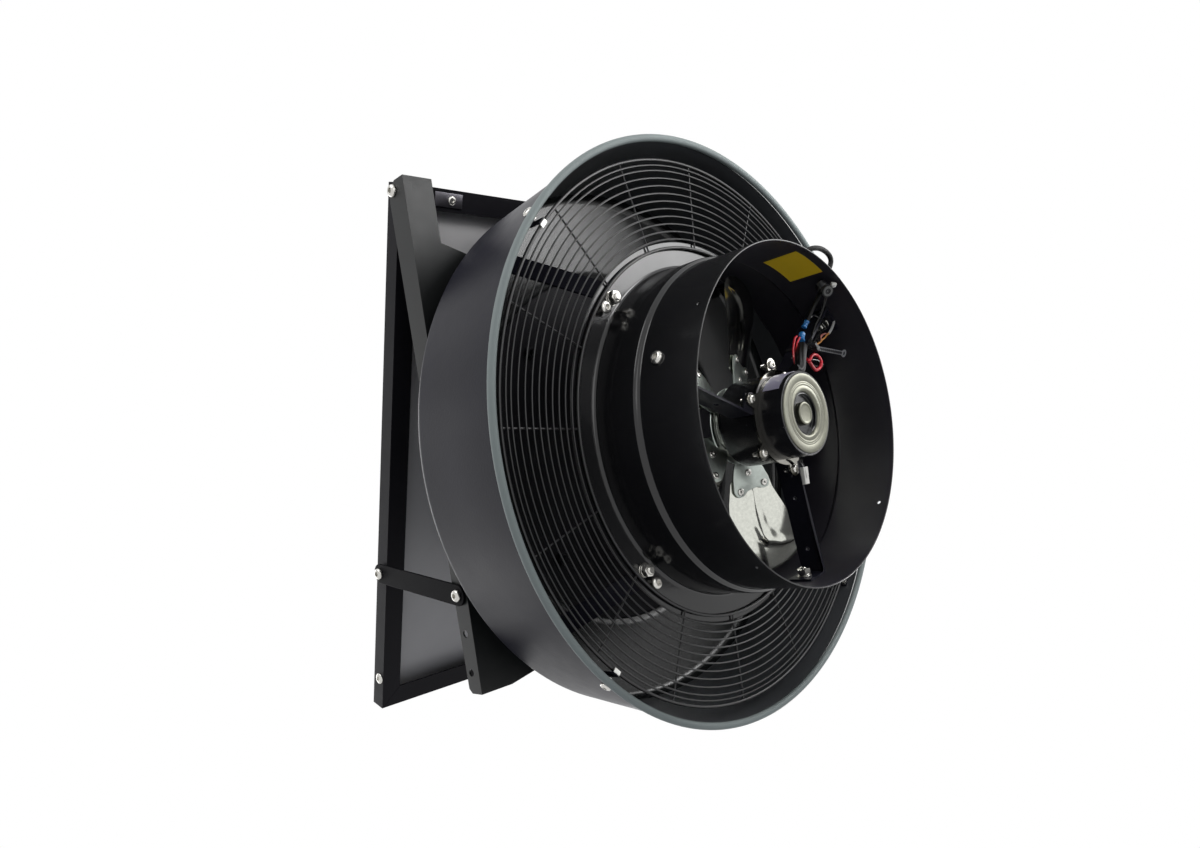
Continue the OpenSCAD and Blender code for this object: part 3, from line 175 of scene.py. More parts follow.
bracket_paint = paint("bracket_paint", (0.013, 0.014, 0.014), rough=(0.3, 0.42), peel=0.8, peel_scale=900.0,
    specular=0.3)
recess_black = paint("recess_black", (0.008, 0.008, 0.009), rough=(0.15, 0.25), peel=0.2)
clamp_metal = metal("clamp_metal", (0.33, 0.32, 0.29), rough=(0.07, 0.13), lines=0.03)
ring_metal = metal("ring_metal", (0.62, 0.61, 0.57), rough=(0.2, 0.32), lines=0.08)
spider_metal = metal("spider_metal", (0.42, 0.46, 0.43), rough=(0.28, 0.4), lines=0.08)
sheath_black = paint("sheath_black", (0.007, 0.007, 0.0075), rough=(0.3, 0.4), peel=0.4, specular=0.12)
lead_black = paint("lead_black", (0.009, 0.009, 0.009), rough=(0.12, 0.2), peel=0.2, specular=0.3)
socket_ring = paint("socket_ring", (0.13, 0.13, 0.125), rough=(0.3, 0.4), peel=0.2, specular=0.3)
# Light grey for the black tie's teeth and end ring: painted glints
tooth_glint_grey = paint("tooth_glint_grey", (0.3, 0.3, 0.31), rough=(0.22, 0.32), peel=0.2)
wire_white = paint("wire_white", (0.6, 0.6, 0.58), rough=(0.25, 0.35), peel=0.2, vary=0.05)
wire_orange = paint("wire_orange", (0.5, 0.22, 0.05), rough=(0.25, 0.35), peel=0.2, vary=0.08)
wire_pink = paint("wire_pink", (0.5, 0.18, 0.15), rough=(0.25, 0.35), peel=0.2, vary=0.08)
cell_blue = paint("cell_blue", (0.008, 0.014, 0.05), rough=(0.08, 0.12), peel=0.05, vary=0.25)
cell_silver = metal("cell_silver", (0.6, 0.62, 0.66), rough=(0.2, 0.3))
plate_metal = metal("plate_metal", (0.13, 0.125, 0.14), rough=(0.3, 0.4))


# Mesh building
def clean_mesh(name, verts, faces):
    """A mesh with merged doubles and faces that look outwards."""
    mesh = bpy.data.meshes.new(name)
    mesh.from_pydata([tuple(c * mm for c in v) for v in verts], [], faces)
    mesh.validate()
    b = bmesh.new()
    b.from_mesh(mesh)
    bmesh.ops.remove_doubles(b, verts=b.verts, dist=1e-6)
    bmesh.ops.recalc_face_normals(b, faces=b.faces)
    b.to_mesh(mesh)
    b.free()
    return mesh


def smooth(mesh, sharp):
    for p in mesh.polygons:
        p.use_smooth = True
    mesh.set_sharp_from_angle(angle=math.radians(sharp))


def link_new(name, mesh):
    o = bpy.data.objects.new(name, mesh)
    scene.collection.objects.link(o)
    return o


def circle(r, z, seg):
    """Points round the local Z axis."""
    angles = [2 * math.pi * k / seg for k in range(seg)]
    return [(r * math.cos(a), r * math.sin(a), z) for a in angles]


def hexagon(flat, seg):
    """Points round a hexagon, each with its distance q from the middle; flat is q at a side's middle."""
    out = []
    for k in range(seg):
        a = 2 * math.pi * k / seg
        q = flat / math.cos((a % (math.pi / 3)) - math.pi / 6)
        out.append((q * math.cos(a), q * math.sin(a), q))
    return out


class Shape:
    """Collects vertices and faces in millimetres."""

    def __init__(self):
        self.verts = []
        self.faces = []

    def add(self, verts, faces, matrix=None):
        base = len(self.verts)
        for v in verts:
            self.verts.append(tuple(matrix @ Vector(v)) if matrix else tuple(v))
        self.faces += [tuple(base + k for k in f) for f in faces]

    def rows(self, rows, matrix=None, ends=True):
        """A skin over rows of points, each row a closed ring."""
        n = len(rows[0])
        verts = [v for row in rows for v in row]
        faces = []
        for i in range(len(rows) - 1):
            for k in range(n):
                j = (k + 1) % n
                faces.append((i * n + k, i * n + j, (i + 1) * n + j, (i + 1) * n + k))
        if ends:
            faces.append(tuple(range(n))[::-1])
            faces.append(tuple((len(rows) - 1) * n + k for k in range(n)))
        self.add(verts, faces, matrix)

    def lathe(self, profile, matrix=None, seg=96, loop=True):
        """A profile of (radius, height) turned round the local Z axis."""
        rows = [circle(r, z, seg) for r, z in profile]
        if loop:
            rows.append(rows[0])
        self.rows(rows, matrix, ends=not loop)

    def tube(self, points, radius, seg=10):
        """A tube along points; radius may depend on the angle round it and the point's number."""
        pts = [Vector(p) for p in points]
        rows = []
        up = None
        for i, p in enumerate(pts):
            t = (pts[min(i + 1, len(pts) - 1)] - pts[max(i - 1, 0)]).normalized()
            if up is None:
                up = t.orthogonal().normalized()
            up = (up - t * up.dot(t)).normalized()
            side = t.cross(up)
            row = []
            for k in range(seg):
                w = 2 * math.pi * k / seg
                r = radius(w, i) if callable(radius) else radius
                row.append(tuple(p + r * (math.cos(w) * up + math.sin(w) * side)))
            rows.append(row)
        self.rows(rows)

    def button(self, matrix, shank, head_r, head_h, length, seg=36):
        """Button head with a hexagon socket, its head above the local z = 0."""
        socket = head_r * 0.4
        rise = head_h * 0.22
        flat_r = head_r * 0.52
        rows = [circle(r, z, seg) for r, z in (
            (shank, -length), (shank, 0), (head_r * 0.97, 0), (head_r, rise * 0.3), (head_r, rise))]
        for k in range(1, 6):
            w = k / 6 * math.pi / 2
            rows.append(circle(
                flat_r + (head_r - flat_r) * math.cos(w), rise + (head_h - rise) * math.sin(w), seg))
        rows.append(circle(flat_r, head_h, seg))
        for flat, z in ((socket * 1.08, head_h), (socket, head_h - 0.15), (socket, head_h * 0.28)):
            rows.append([(x, y, z) for x, y, q in hexagon(flat, seg)])
        self.rows(rows, matrix)

    def nut(self, matrix, r, h, bore, seg=36):
        """Chamfered hexagon nut standing on the local z = 0; r is over its corners."""
        flat = r * math.cos(math.pi / 6)
        low = [(x, y, 0.1 + (q - flat) * 0.55) for x, y, q in hexagon(flat, seg)]
        high = [(x, y, h - z) for x, y, z in low]
        rows = [circle(bore, 0, seg), circle(flat * 0.97, 0, seg), low, high, circle(flat * 0.97, h, seg),
            circle(bore, h, seg), circle(bore, 0, seg)]
        self.rows(rows, matrix, ends=False)

    def washer(self, matrix, r, bore, t, seg=36):
        e = min(0.25, t / 3)
        self.lathe([(bore, 0), (r - e, 0), (r, e), (r, t - e), (r - e, t), (bore, t)], matrix, seg)

    def stud(self, matrix, r, z0, z1, pitch=1.25, seg=24):
        """Threaded rod from z0 up to z1."""
        rows = [(0.01, z0), (r - 0.7, z0)]
        z = z0 + 0.3
        while z < z1 - pitch:
            rows += [(r, z + pitch * 0.3), (r, z + pitch * 0.42), (r - 0.55, z + pitch * 0.85)]
            z += pitch
        rows += [(r - 0.6, z1), (0.01, z1)]
        self.lathe(rows, matrix, seg, loop=False)

    def plate(self, outline, z0, z1, matrix=None, edge=0.4):
        """Flat plate with eased edges; the outline runs anticlockwise."""
        def inset(d):
            out = []
            n = len(outline)
            for i in range(n):
                a, b, c = (Vector(outline[(i + k) % n]) for k in (-1, 0, 1))
                e0 = (b - a).normalized()
                e1 = (c - b).normalized()
                n0 = Vector((-e0.y, e0.x))
                n1 = Vector((-e1.y, e1.x))
                m = n0 + n1
                m = m / max(0.3, m.dot(n0))
                out.append(b + m * d)
            return out
        small = inset(edge)
        mid = inset(edge * 0.3)
        rows = [[(p.x, p.y, z0) for p in small], [(p.x, p.y, z0 + edge * 0.3) for p in mid],
            [(p[0], p[1], z0 + edge) for p in outline], [(p[0], p[1], z1 - edge) for p in outline],
            [(p.x, p.y, z1 - edge * 0.3) for p in mid], [(p.x, p.y, z1) for p in small]]
        self.rows(rows, matrix)

    def make(self, name, material, body, stands_for=(), sharp=32.0):
        mesh = clean_mesh(name, self.verts, self.faces)
        smooth(mesh, sharp)
        mesh.materials.append(material)
        o = link_new(name, mesh)
        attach(o, body)
        if stands_for:
            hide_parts(*stands_for)
        return o


def move(x, y, z):
    return Matrix.Translation((x, y, z))


def rot(degrees, axis):
    return Matrix.Rotation(math.radians(degrees), 4, axis)


def aim(at, to):
    """A place whose local +Z looks from one point towards another."""
    at = Vector(at)
    return Matrix.Translation(at) @ (Vector(to) - at).to_track_quat("Z", "Y").to_matrix().to_4x4()


def polar(r, a, z=0.0):
    return (r * math.cos(math.radians(a)), r * math.sin(math.radians(a)), z)


def smooth_path(points, step=2.0):
    """Even points along a Catmull-Rom curve through the given ones."""
    pts = [Vector(p) for p in points]
    ends = [pts[0] * 2 - pts[1]] + pts + [pts[-1] * 2 - pts[-2]]
    out = []
    for i in range(1, len(ends) - 2):
        a, b, c, d = ends[i - 1:i + 3]
        n = max(2, int((c - b).length / step))
        for k in range(n):
            t = k / n
            out.append(0.5 * ((2 * b) + (c - a) * t + (2 * a - 5 * b + 4 * c - d) * t * t
                + (3 * b - a - 3 * c + d) * t ** 3))
    out.append(pts[-1])
    return out


def arc_points(cx, cz, r, a0, a1, n=8):
    """Points on an arc from one angle to another, in degrees."""
    angles = [math.radians(a0 + (a1 - a0) * i / n) for i in range(n + 1)]
    return [(cx + r * math.cos(a), cz + r * math.sin(a)) for a in angles]


def dress(node, material, body, edge):
    """A copy of a CAD solid with merged faces and edges eased by so many millimetres."""
    mesh = bpy.data.meshes.new(node + "_shape")
    b = bmesh.new()
    b.from_mesh(nodes[node].data)
    bmesh.ops.remove_doubles(b, verts=b.verts, dist=2e-6)
    bmesh.ops.dissolve_limit(b, angle_limit=math.radians(0.6), verts=b.verts, edges=b.edges)
    b.to_mesh(mesh)
    b.free()
    smooth(mesh, 30.0)
    mesh.materials.clear()
    mesh.materials.append(material)
    o = link_new("dressed_" + node, mesh)
    mod = o.modifiers.new("edge", "BEVEL")
    mod.width = edge * mm
    mod.segments = 2
    mod.limit_method = "ANGLE"
    mod.angle_limit = math.radians(30.0)
    mod.use_clamp_overlap = True
    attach(o, body)
    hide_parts(node)


def turned(name, material, body, stands_for, seg, profile, loop=True):
    g = Shape()
    g.lathe(profile, seg=seg, loop=loop)
    g.make(name, material, body, stands_for)


# Places shared with the part's source, in millimetres and degrees
tilt = 19.9
hinge = (312.6, 313.8)
pivot_along = 451
pivot_below = 1.5
strap_foot = (-139.6, 305.1)
on_panel = move(0, hinge[0], hinge[1]) @ rot(-tilt, "X")
sin_tilt, cos_tilt = math.sin(math.radians(tilt)), math.cos(math.radians(tilt))
pivot = (hinge[0] - pivot_along * cos_tilt - pivot_below * sin_tilt,
    hinge[1] + pivot_along * sin_tilt - pivot_below * cos_tilt)
strap_back = pivot[0] - strap_foot[0]
strap_drop = pivot[1] - strap_foot[1]
strap_l = math.hypot(strap_back, strap_drop)
on_strap = move(0, pivot[0], pivot[1]) @ rot(-math.degrees(math.atan2(strap_back, strap_drop)), "X")
cable_angle = 116
cable_top_r = 250
wall_hole_angle = 127
wall_hole_z = 26
clip_angle = 44.1
blades = 5

# Screws as shank radius, head radius and head height; nuts as radius over corners, height and bore
m8 = (4, 7, 4.4)
m5 = (2.5, 4.75, 2.8)
m8_nut = (7.5, 6.4, 4.05)

# Guard: two thick edge rings, eleven thin rings and sixteen radial wires
fall = 0.032
guard_in = 214.5
guard_out = 314.0
guard_z = 126.3
edge_wire_r = 1.8
wire_r = 1.05
spokes = 16
guard_rings = [307.5, 301.5] + [293.0 - 8.625 * k for k in range(9)]


def wire_ring(r, wire, lift, seg):
    """Profile of a ring of wire, so far above the guard's sloping underside."""
    low = guard_z - (r - guard_in) * fall
    return [(r + wire * math.cos(w), low + lift + wire * math.sin(w))
        for w in [2 * math.pi * k / seg for k in range(seg)]]


g = Shape()
for r in (guard_in, guard_out):
    g.lathe(wire_ring(r, edge_wire_r, 2.5, 12), seg=144)
for r in guard_rings:
    g.lathe(wire_ring(r, wire_r, 1.3, 8), seg=144)
for k in range(spokes):
    a = 4.3 + 360 / spokes * k
    z = guard_z + 3.2
    g.tube([polar(guard_in, a, z), polar(guard_out, a, z - (guard_out - guard_in) * fall)], wire_r, 8)
g.make("guard_wires", wire_black, "housing", ["grille"])


# Cutting holes
def cut(target, cutters):
    """Cuts closed shapes out of a mesh object and keeps its faces smooth."""
    made = []
    for c in cutters:
        o = link_new("cutter", clean_mesh("cutter", c.verts, c.faces))
        mod = target.modifiers.new("cut", "BOOLEAN")
        mod.object = o
        mod.operation = "DIFFERENCE"
        mod.solver = "EXACT"
        made.append(o)
    bpy.context.view_layer.update()
    deps = bpy.context.evaluated_depsgraph_get()
    mesh = bpy.data.meshes.new_from_object(target.evaluated_get(deps))
    target.modifiers.clear()
    target.data = mesh
    smooth(mesh, 32.0)
    for o in made:
        bpy.data.objects.remove(o)


def rod(matrix, r, z0, z1, seg=32):
    s = Shape()
    s.lathe([(0.001, z0), (r, z0), (r, z1), (0.001, z1)], matrix, seg, loop=False)
    return s


def out_at(a, r, z):
    """Local +Z looks outwards from the axis at an angle, its origin at radius r and height z."""
    return rot(a, "Z") @ move(r, 0, z) @ rot(90, "Y")


# Dome: spun shell with a rolled rim; its crown is a cone round a raised flat
top_z = 291.0
flat_r = 222
sheet = 1.5
slope = 15.0
bend_r = 14.0
bend_x = 305.0
per_mm = math.tan(math.radians(slope))
cone_r = bend_x + bend_r * math.sin(math.radians(slope))
cone_z = top_z - 3 - (cone_r - flat_r) * per_mm
bend_z = cone_z - bend_r * math.cos(math.radians(slope))
bead_x, bead_z = 333, 112
bead_r = 4
curl_r = 2.7
g = Shape()
outer = [(331.95, 116.6), (328.74, 150), (324.9, 190)]
outer += arc_points(bend_x, bend_z, bend_r, 0, 90 - slope, 16)
outer += [(232, cone_z - (232 - cone_r) * per_mm), (223, top_z - 3.2), (221.8, top_z - 2.7),
    (220.6, top_z - 1.2), (219.4, top_z - 0.2), (217, top_z), (100, top_z), (2, top_z)]
inner = [(2, top_z - sheet), (100, top_z - sheet), (216.5, top_z - sheet), (218.8, top_z - 1.8),
    (220, top_z - 3), (221.5, top_z - 4.4), (231.6, cone_z - 1.6 - (232 - cone_r) * per_mm)]
inner += arc_points(bend_x, bend_z, bend_r - sheet, 90 - slope, 0, 16)
inner += [(323.4, 190), (327.24, 150), (330.45, 116.6)]
g.lathe(outer + inner, seg=192)
dome = g.make("dome_shell", black_paint, "housing", ["dome_hood"])


def clip_place(k):
    """Place of a clip's screw on the skirt, its local +Z along the skirt's outward direction."""
    return rot(clip_angle + 90 * k, "Z") @ move(330.76, 0, 129) @ rot(84.5, "Y")


cut(dome, [rod(clip_place(k), 2.6, -6, 6) for k in range(4)])
for material in (dome_gloss, dome_crown, skirt_inside_painted_sheen):
    dome.data.materials.append(material)
for p in dome.data.polygons:
    c = p.center
    if p.normal.z < -0.2 or p.normal.x * c.x + p.normal.y * c.y < -0.01:
        from_axis = math.hypot(c.x, c.y)
        p.material_index = 1
        if from_axis < 0.2205 and c.z > 0.28:
            p.material_index = 2
        # Faces inside the skirt take that lighter grey: painted sheen
        if from_axis > 0.319:
            p.material_index = 3
# Rolled rim bead, drawn in the mid-grey of a painted reflection
g = Shape()
g.lathe(arc_points(bead_x, bead_z, bead_r, -250, 60, 31) + arc_points(bead_x, bead_z, curl_r, 60, -250, 31),
    seg=192)
g.make("dome_rim", rim_painted_reflection, "housing")

# Collar: lower tube, rounded step, upper tube and flange in one sheet
g = Shape()
outer = [(184.4, 0.2), (185, 0.8), (185, 70)]
outer += [(185.2, 71.6), (185.8, 73), (187.2, 74.2), (188.6, 75.2), (189.3, 76.6), (189.5, 78.4),
    (189.5, 126.5)]
outer += arc_points(194.5, 126.5, 5, 180, 90, 6)[1:]
outer += [(221.4, 131.5), (222, 132), (222, 132.6), (221.4, 133)]
inner = [(194.5, 133)]
inner += arc_points(194.5, 126.5, 6.5, 90, 180, 6)
inner += [(188, 79), (187.6, 77.4), (186.4, 76), (184.9, 74.8), (183.9, 73), (183.5, 71), (183.5, 0.8),
    (184, 0.2)]
g.lathe(outer + inner, seg=192)
collar = g.make("collar_shell", collar_paint, "housing", ["throat_collar"])
holes = [rod(out_at(38.5 + 90 * k, 178, 12.5), 2.2, 0, 12) for k in range(4)]
holes.append(rod(out_at(wall_hole_angle, 178, wall_hole_z), 6, 0, 12))
holes.append(rod(rot(cable_angle, "Z") @ move(200, 0, 120), 4, 0, 20))
cut(collar, holes)
collar.data.materials.append(collar_inside)
for p in collar.data.polygons:
    c = p.center
    from_axis = math.hypot(c.x, c.y)
    if p.normal.x * c.x + p.normal.y * c.y < -0.1 * from_axis and from_axis < 0.195:
        p.material_index = 1

# Screws through the flange: studs and nuts of the legs, and the guard's retaining screws
g = Shape()
h = Shape()
for k in range(4):
    base = rot(47.5 + 90 * k, "Z") @ move(203.8, 0, 0)
    g.button(base @ move(0, 0, 135.7), *m8, 1)
    g.stud(base, 4, 119.4, 135.6)
    h.washer(base @ move(0, 0, 130.0), 8, 4.1, 1.4)
    h.washer(base @ move(0, 0, 128.2), 7.2, 4.1, 1.6)
    h.nut(base @ rot(13 * k + 8, "Z") @ move(0, 0, 121.7), *m8_nut)
g.make("leg_studs", zinc, "housing", ["leg_bolts"])
h.make("leg_nut_stacks", zinc, "housing", ["leg_nuts"])
g = Shape()
for k in range(4):
    base = rot(42.3 + 90 * k, "Z") @ move(207, 0, 0)
    g.button(base @ move(0, 0, 126.05) @ rot(180, "X"), 3, 7, 3.6, 10)
    g.washer(base @ move(0, 0, 126.1), 4.4, 3.05, 5.2)
    g.nut(base @ move(0, 0, 133.2), 5.5, 5, 3.05)
g.make("ring_screws", zinc, "housing", ["grille_ring_screws"])

# Guard clips: a pale saddle under the outer ring on a folded black strip, screwed to the skirt
strip = [(317.2, 121.5), (318.5, 121.5), (318.5, 133.8), (319.3, 134.8), (326.0, 134.8), (326.9, 134.0),
    (327.75, 125.0), (329.15, 125.1), (328.1, 136.0), (327.5, 136.3), (318.3, 136.3), (317.2, 135.2)]
saddle = [(312.3, 121.6), (316.2, 121.5), (317.3, 122.2), (317.3, 124.5), (316.4, 124.5), (316.3, 123.0),
    (312.3, 122.7)]
across_clip = (-4.5, -4.3, 4.3, 4.5)
for name, outline, material, stands_for in (
        ("guard_clips", strip, black_paint, ["grille_clips"]), ("clip_saddles", saddle, clip_metal, [])):
    g = Shape()
    for k in range(4):
        g.rows([[(x, y, z) for x, z in outline] for y in across_clip], rot(clip_angle + 90 * k, "Z"))
    g.make(name, material, "housing", stands_for)
g = Shape()
for k in range(4):
    g.button(clip_place(k) @ move(0, 0, 0.2), 2.5, 5.9, 2.8, 9)
    g.nut(clip_place(k) @ move(0, 0, -7.6), 4.6, 3.8, 2.55)
g.make("clip_screws", zinc, "housing", ["grille_clip_screws"])

# Motor case
turned("can_shell", can_paint, "housing", ["motor_can"], 128, [(42.9, 6.1), (43.2, 4.2), (45.0, 4.0),
    (45.6, 4.5), (45.7, 5.2), (45.7, 80.5), (45.2, 81.6), (12, 81.8), (12, 79.6), (43.7, 79.6), (43.7, 11),
    (42, 11.0), (26, 11.0), (22.9, 11), (22.9, 6.4), (40, 6.2)])
turned("end_cap_ring", cap_metal, "housing", ["motor_end_cap"], 128, [(43.0, 5.6), (43.0, 3.9), (42.6, 3.2),
    (41.6, 3.0), (40.2, 3.1), (34.6, 3.1), (34.2, 3.25), (33.7, 3.1), (32.6, 3.1), (32.2, 3.25),
    (31.7, 3.1), (30.4, 3.1), (30.0, 3.3), (29.5, 3.3), (29.0, 3.1), (25.6, 3.1), (24.6, 3.3), (23.6, 4.2),
    (22.9, 5.6), (22.9, 5.8), (42.6, 5.8)])
turned("end_cap_recess", recess_black, "housing", (), 96, [(22.9, 5.7), (22.2, 5.2), (21.4, 5.0),
    (20.9, 5.4), (20.7, 8.6), (20.2, 9.2), (13.6, 9.3), (12.6, 9.3), (12.6, 10.6), (22.7, 10.6),
    (22.9, 10.2)])
turned("end_cap_boss", cap_metal, "housing", (), 96, [(0.01, 4.6), (8.6, 4.6), (9.4, 4.5), (9.8, 4.2),
    (10.6, 4.0), (11.6, 4.1), (12.3, 4.6), (12.6, 5.6), (12.6, 9.6), (12.4, 9.9), (0.01, 9.9)], False)
dress("motor_clamp_ring", clamp_metal, "housing", 0.5)
turned("rear_cup_shell", can_paint, "housing", ["motor_rear_cup"], 128,
    [(45.9, 35.8), (48.0, 35.8), (48.2, 36.1), (48.2, 80.5), (47.8, 83.0), (46.6, 85.0), (44.4, 85.9),
    (42.4, 86.0), (9.6, 86.0), (9.2, 85.6), (9.2, 82.6), (9.6, 82.2), (41, 82.1), (45.0, 81.9),
    (45.9, 80.9)])
for i in range(1, 4):
    dress("motor_arm_%d" % i, black_paint, "housing", 0.4)

# Ear screws seen from below, with the nuts of the tabs
g = Shape()
h = Shape()
for k in range(6):
    base = rot(22.5 + 60 * k, "Z") @ move(58, 0, 0)
    g.button(base @ move(0, 0, 32.9) @ rot(180, "X") @ rot(17 * k, "Z"), *m5, 6)
    g.stud(base, 2.45, 36, 46, 0.8)
    h.nut(base @ rot(11 * k, "Z") @ move(0, 0, 35.6 if k % 2 else 38.3), 4.6, 4, 2.55)
g.make("ear_screw_set", zinc, "housing", ["ear_screws"])
h.make("ear_nut_set", zinc, "housing", ["ear_nuts"])

# Screws of the arms at the wall, with washers and nuts on the arms' feet inside it
arm_angle = 22.5
foot_depth = 4.6
g = Shape()
h = Shape()
for k in range(3):
    base = out_at(arm_angle + 120 * k, 185.2, 51)
    g.button(base @ rot(20 * k + 9, "Z"), *m8, 2)
    g.stud(base, 4, -15.2, -1)
    h.washer(base @ move(0, 0, -foot_depth - 1.4), 8, 4.1, 1.4)
    h.washer(base @ move(0, 0, -foot_depth - 3.0), 7.2, 4.1, 1.5)
    h.nut(base @ rot(23 * k, "Z") @ move(0, 0, -foot_depth - 9.2), 7.5, 6.2, 4.05)
g.make("wall_screws", zinc, "housing", ["arm_wall_bolts"])
h.make("wall_nuts", zinc, "housing", ["arm_wall_nuts"])


# Bent label plates
def bent_plate(name, r, a, sweep, z0, z1, t, material, stands_for):
    """A plate on a cylinder of radius r, centred at an angle and so many degrees wide."""
    g = Shape()
    low, high = a - sweep / 2, a + sweep / 2
    loop = arc_points(0, 0, r, low, high, 24) + arc_points(0, 0, r + t, high, low, 24)
    g.rows([[(x, y, z0) for x, y in loop], [(x, y, z1) for x, y in loop]])
    g.make(name, material, "housing", stands_for)


bent_plate("motor_plate", 45.8, 70, 62, 10, 30, 0.35, silver_label, ["motor_label"])
bent_plate("wall_plate", 182.95, 111, 17, 11, 54, 0.35, yellow, ["wall_label"])

# Fan: dished hub, spider with five pads, stamped blades and tubular rivets
fan_z = 98.0
blade_pitch = 18.8
first_blade = -102.7
turned("hub_spun", ring_metal, "fan", ["fan_hub"], 96, [(5.1, 91.6), (12.6, 91.6), (13.4, 92.2), (14, 92.6),
    (30.5, 92.6), (32, 92.2), (33.2, 91.6), (34.6, 91.5), (35.7, 91.9), (36, 92.8), (36, 97.6),
    (14.1, 97.7), (14.1, 100.2), (18.4, 100.2), (19, 100.8), (19, 113.4), (18.4, 114.1), (5.6, 114.2),
    (5.1, 113.7)])


def blade_place(i):
    return rot(first_blade + 360 / blades * (i - 1), "Z") @ move(0, 0, fan_z + 1) @ rot(blade_pitch, "X")


def rounded(points, radius, n=6):
    """A closed outline with its corners rounded; radius may be one number or one a corner."""
    out = []
    count = len(points)
    for i in range(count):
        before, corner, after = (Vector(points[(i + k) % count]) for k in (-1, 0, 1))
        r = radius[i] if isinstance(radius, list) else radius
        u = before - corner
        v = after - corner
        lu, lv = u.length, v.length
        u.normalize()
        v.normalize()
        angle = u.angle(v)
        if r <= 0 or angle > math.radians(178):
            out.append(tuple(corner))
            continue
        d = min(r / math.tan(angle / 2), 0.48 * lu, 0.48 * lv)
        centre = corner + (u + v).normalized() * (d / math.cos(angle / 2))
        start = (corner + u * d) - centre
        turn_by = start.angle_signed((corner + v * d) - centre)
        for k in range(n + 1):
            w = -turn_by * k / n
            out.append((centre.x + start.x * math.cos(w) - start.y * math.sin(w),
                centre.y + start.x * math.sin(w) + start.y * math.cos(w)))
    return out


half = [(36, 11), (47, 18), (58, 22.5), (73, 26), (80.5, 22.5), (80.5, 15), (76.5, 7)]
pad = [(x, -y) for x, y in half] + [(x, y) for x, y in reversed(half)]
pad = rounded(pad, [0, 3, 8, 7, 4.5, 4.5, 9, 9, 4.5, 4.5, 7, 8, 3, 0])
g = Shape()
g.lathe([(14.2, 98.0), (37.0, 98.0), (38.2, 97.7), (39.6, 97.7), (40.8, 98.0), (43.4, 98.0), (44, 98.5),
    (44, 99.6), (43.6, 100), (14.2, 100)], seg=128)
for i in range(1, blades + 1):
    g.plate(pad, -1, 1, blade_place(i), 0.45)
g.make("spider_plates", spider_metal, "fan", ["fan_spider"])

# Outline of a blade in its own frame, and the stamped pocket inside it
blade_low = rounded([(57, -16), (60, -25), (70, -28.5), (84, -30), (114.5, -42), (146, -54.5), (163, -55),
    (176, -30)], [0, 6, 20, 30, 40, 12, 14, 0], 8)
blade_high = rounded([(57, 16), (61, 25), (85, 34.5), (139, 48), (163, 45.5), (176, 20)],
    [0, 6, 30, 12, 14, 0], 8)
tip_r = 176.9
blade_curve_r = 210
blade_t = 1.1
pocket_depth = 2.6
pocket_j = rounded([(66, -13), (79.4, -13.6), (99, -12), (120.4, -12.4), (138.3, -19.7), (149.9, -42.7),
    (151, -48)], [0, 5, 20, 20, 14, 8, 0], 6)
pocket_o = rounded([(151, -48), (156.4, -49), (159, -35.6), (157.3, -18.2), (148.6, 3.1), (136.6, 11.7),
    (120.4, 14.8), (103.8, 14), (81.5, 9), (66, 7)], [0, 4, 12, 12, 14, 12, 20, 20, 10, 0], 6)


def y_at(line, x):
    """Where an outline lies at x; beyond its last point it stays level."""
    if x >= line[-1][0]:
        return line[-1][1]
    best = line[0][1]
    for p, q in zip(line, line[1:]):
        if (p[0] - x) * (q[0] - x) <= 0 and p[0] != q[0]:
            best = p[1] + (q[1] - p[1]) * (x - p[0]) / (q[0] - p[0])
    return best


def distance_to(line, p):
    best = 1e9
    for (ax, ay), (bx, by) in zip(line, line[1:]):
        dx, dy = bx - ax, by - ay
        q = dx * dx + dy * dy
        t = 0.0 if q == 0 else max(0.0, min(1.0, ((p[0] - ax) * dx + (p[1] - ay) * dy) / q))
        best = min(best, math.hypot(p[0] - ax - t * dx, p[1] - ay - t * dy))
    return best


def inside(loop, p):
    hit = False
    for (ax, ay), (bx, by) in zip(loop, loop[1:] + loop[:1]):
        if (ay > p[1]) != (by > p[1]) and p[0] < ax + (bx - ax) * (p[1] - ay) / (by - ay):
            hit = not hit
    return hit


def stamped(x, y):
    """Depth of the pocket: a slope from each of its edges, eased to a flat floor."""
    if not inside(pocket_j[:-1] + pocket_o, (x, y)):
        return 0.0
    j = distance_to(pocket_j, (x, y)) / 15
    o = distance_to(pocket_o, (x, y)) / 8
    t = max(0.0, min(1.0, j, o, (x - 66) / 14))
    return pocket_depth * t * t * (3 - 2 * t)


def sag(y):
    """How far a blade, curved across its width, has risen at y."""
    return blade_curve_r - math.sqrt(blade_curve_r ** 2 - y * y)


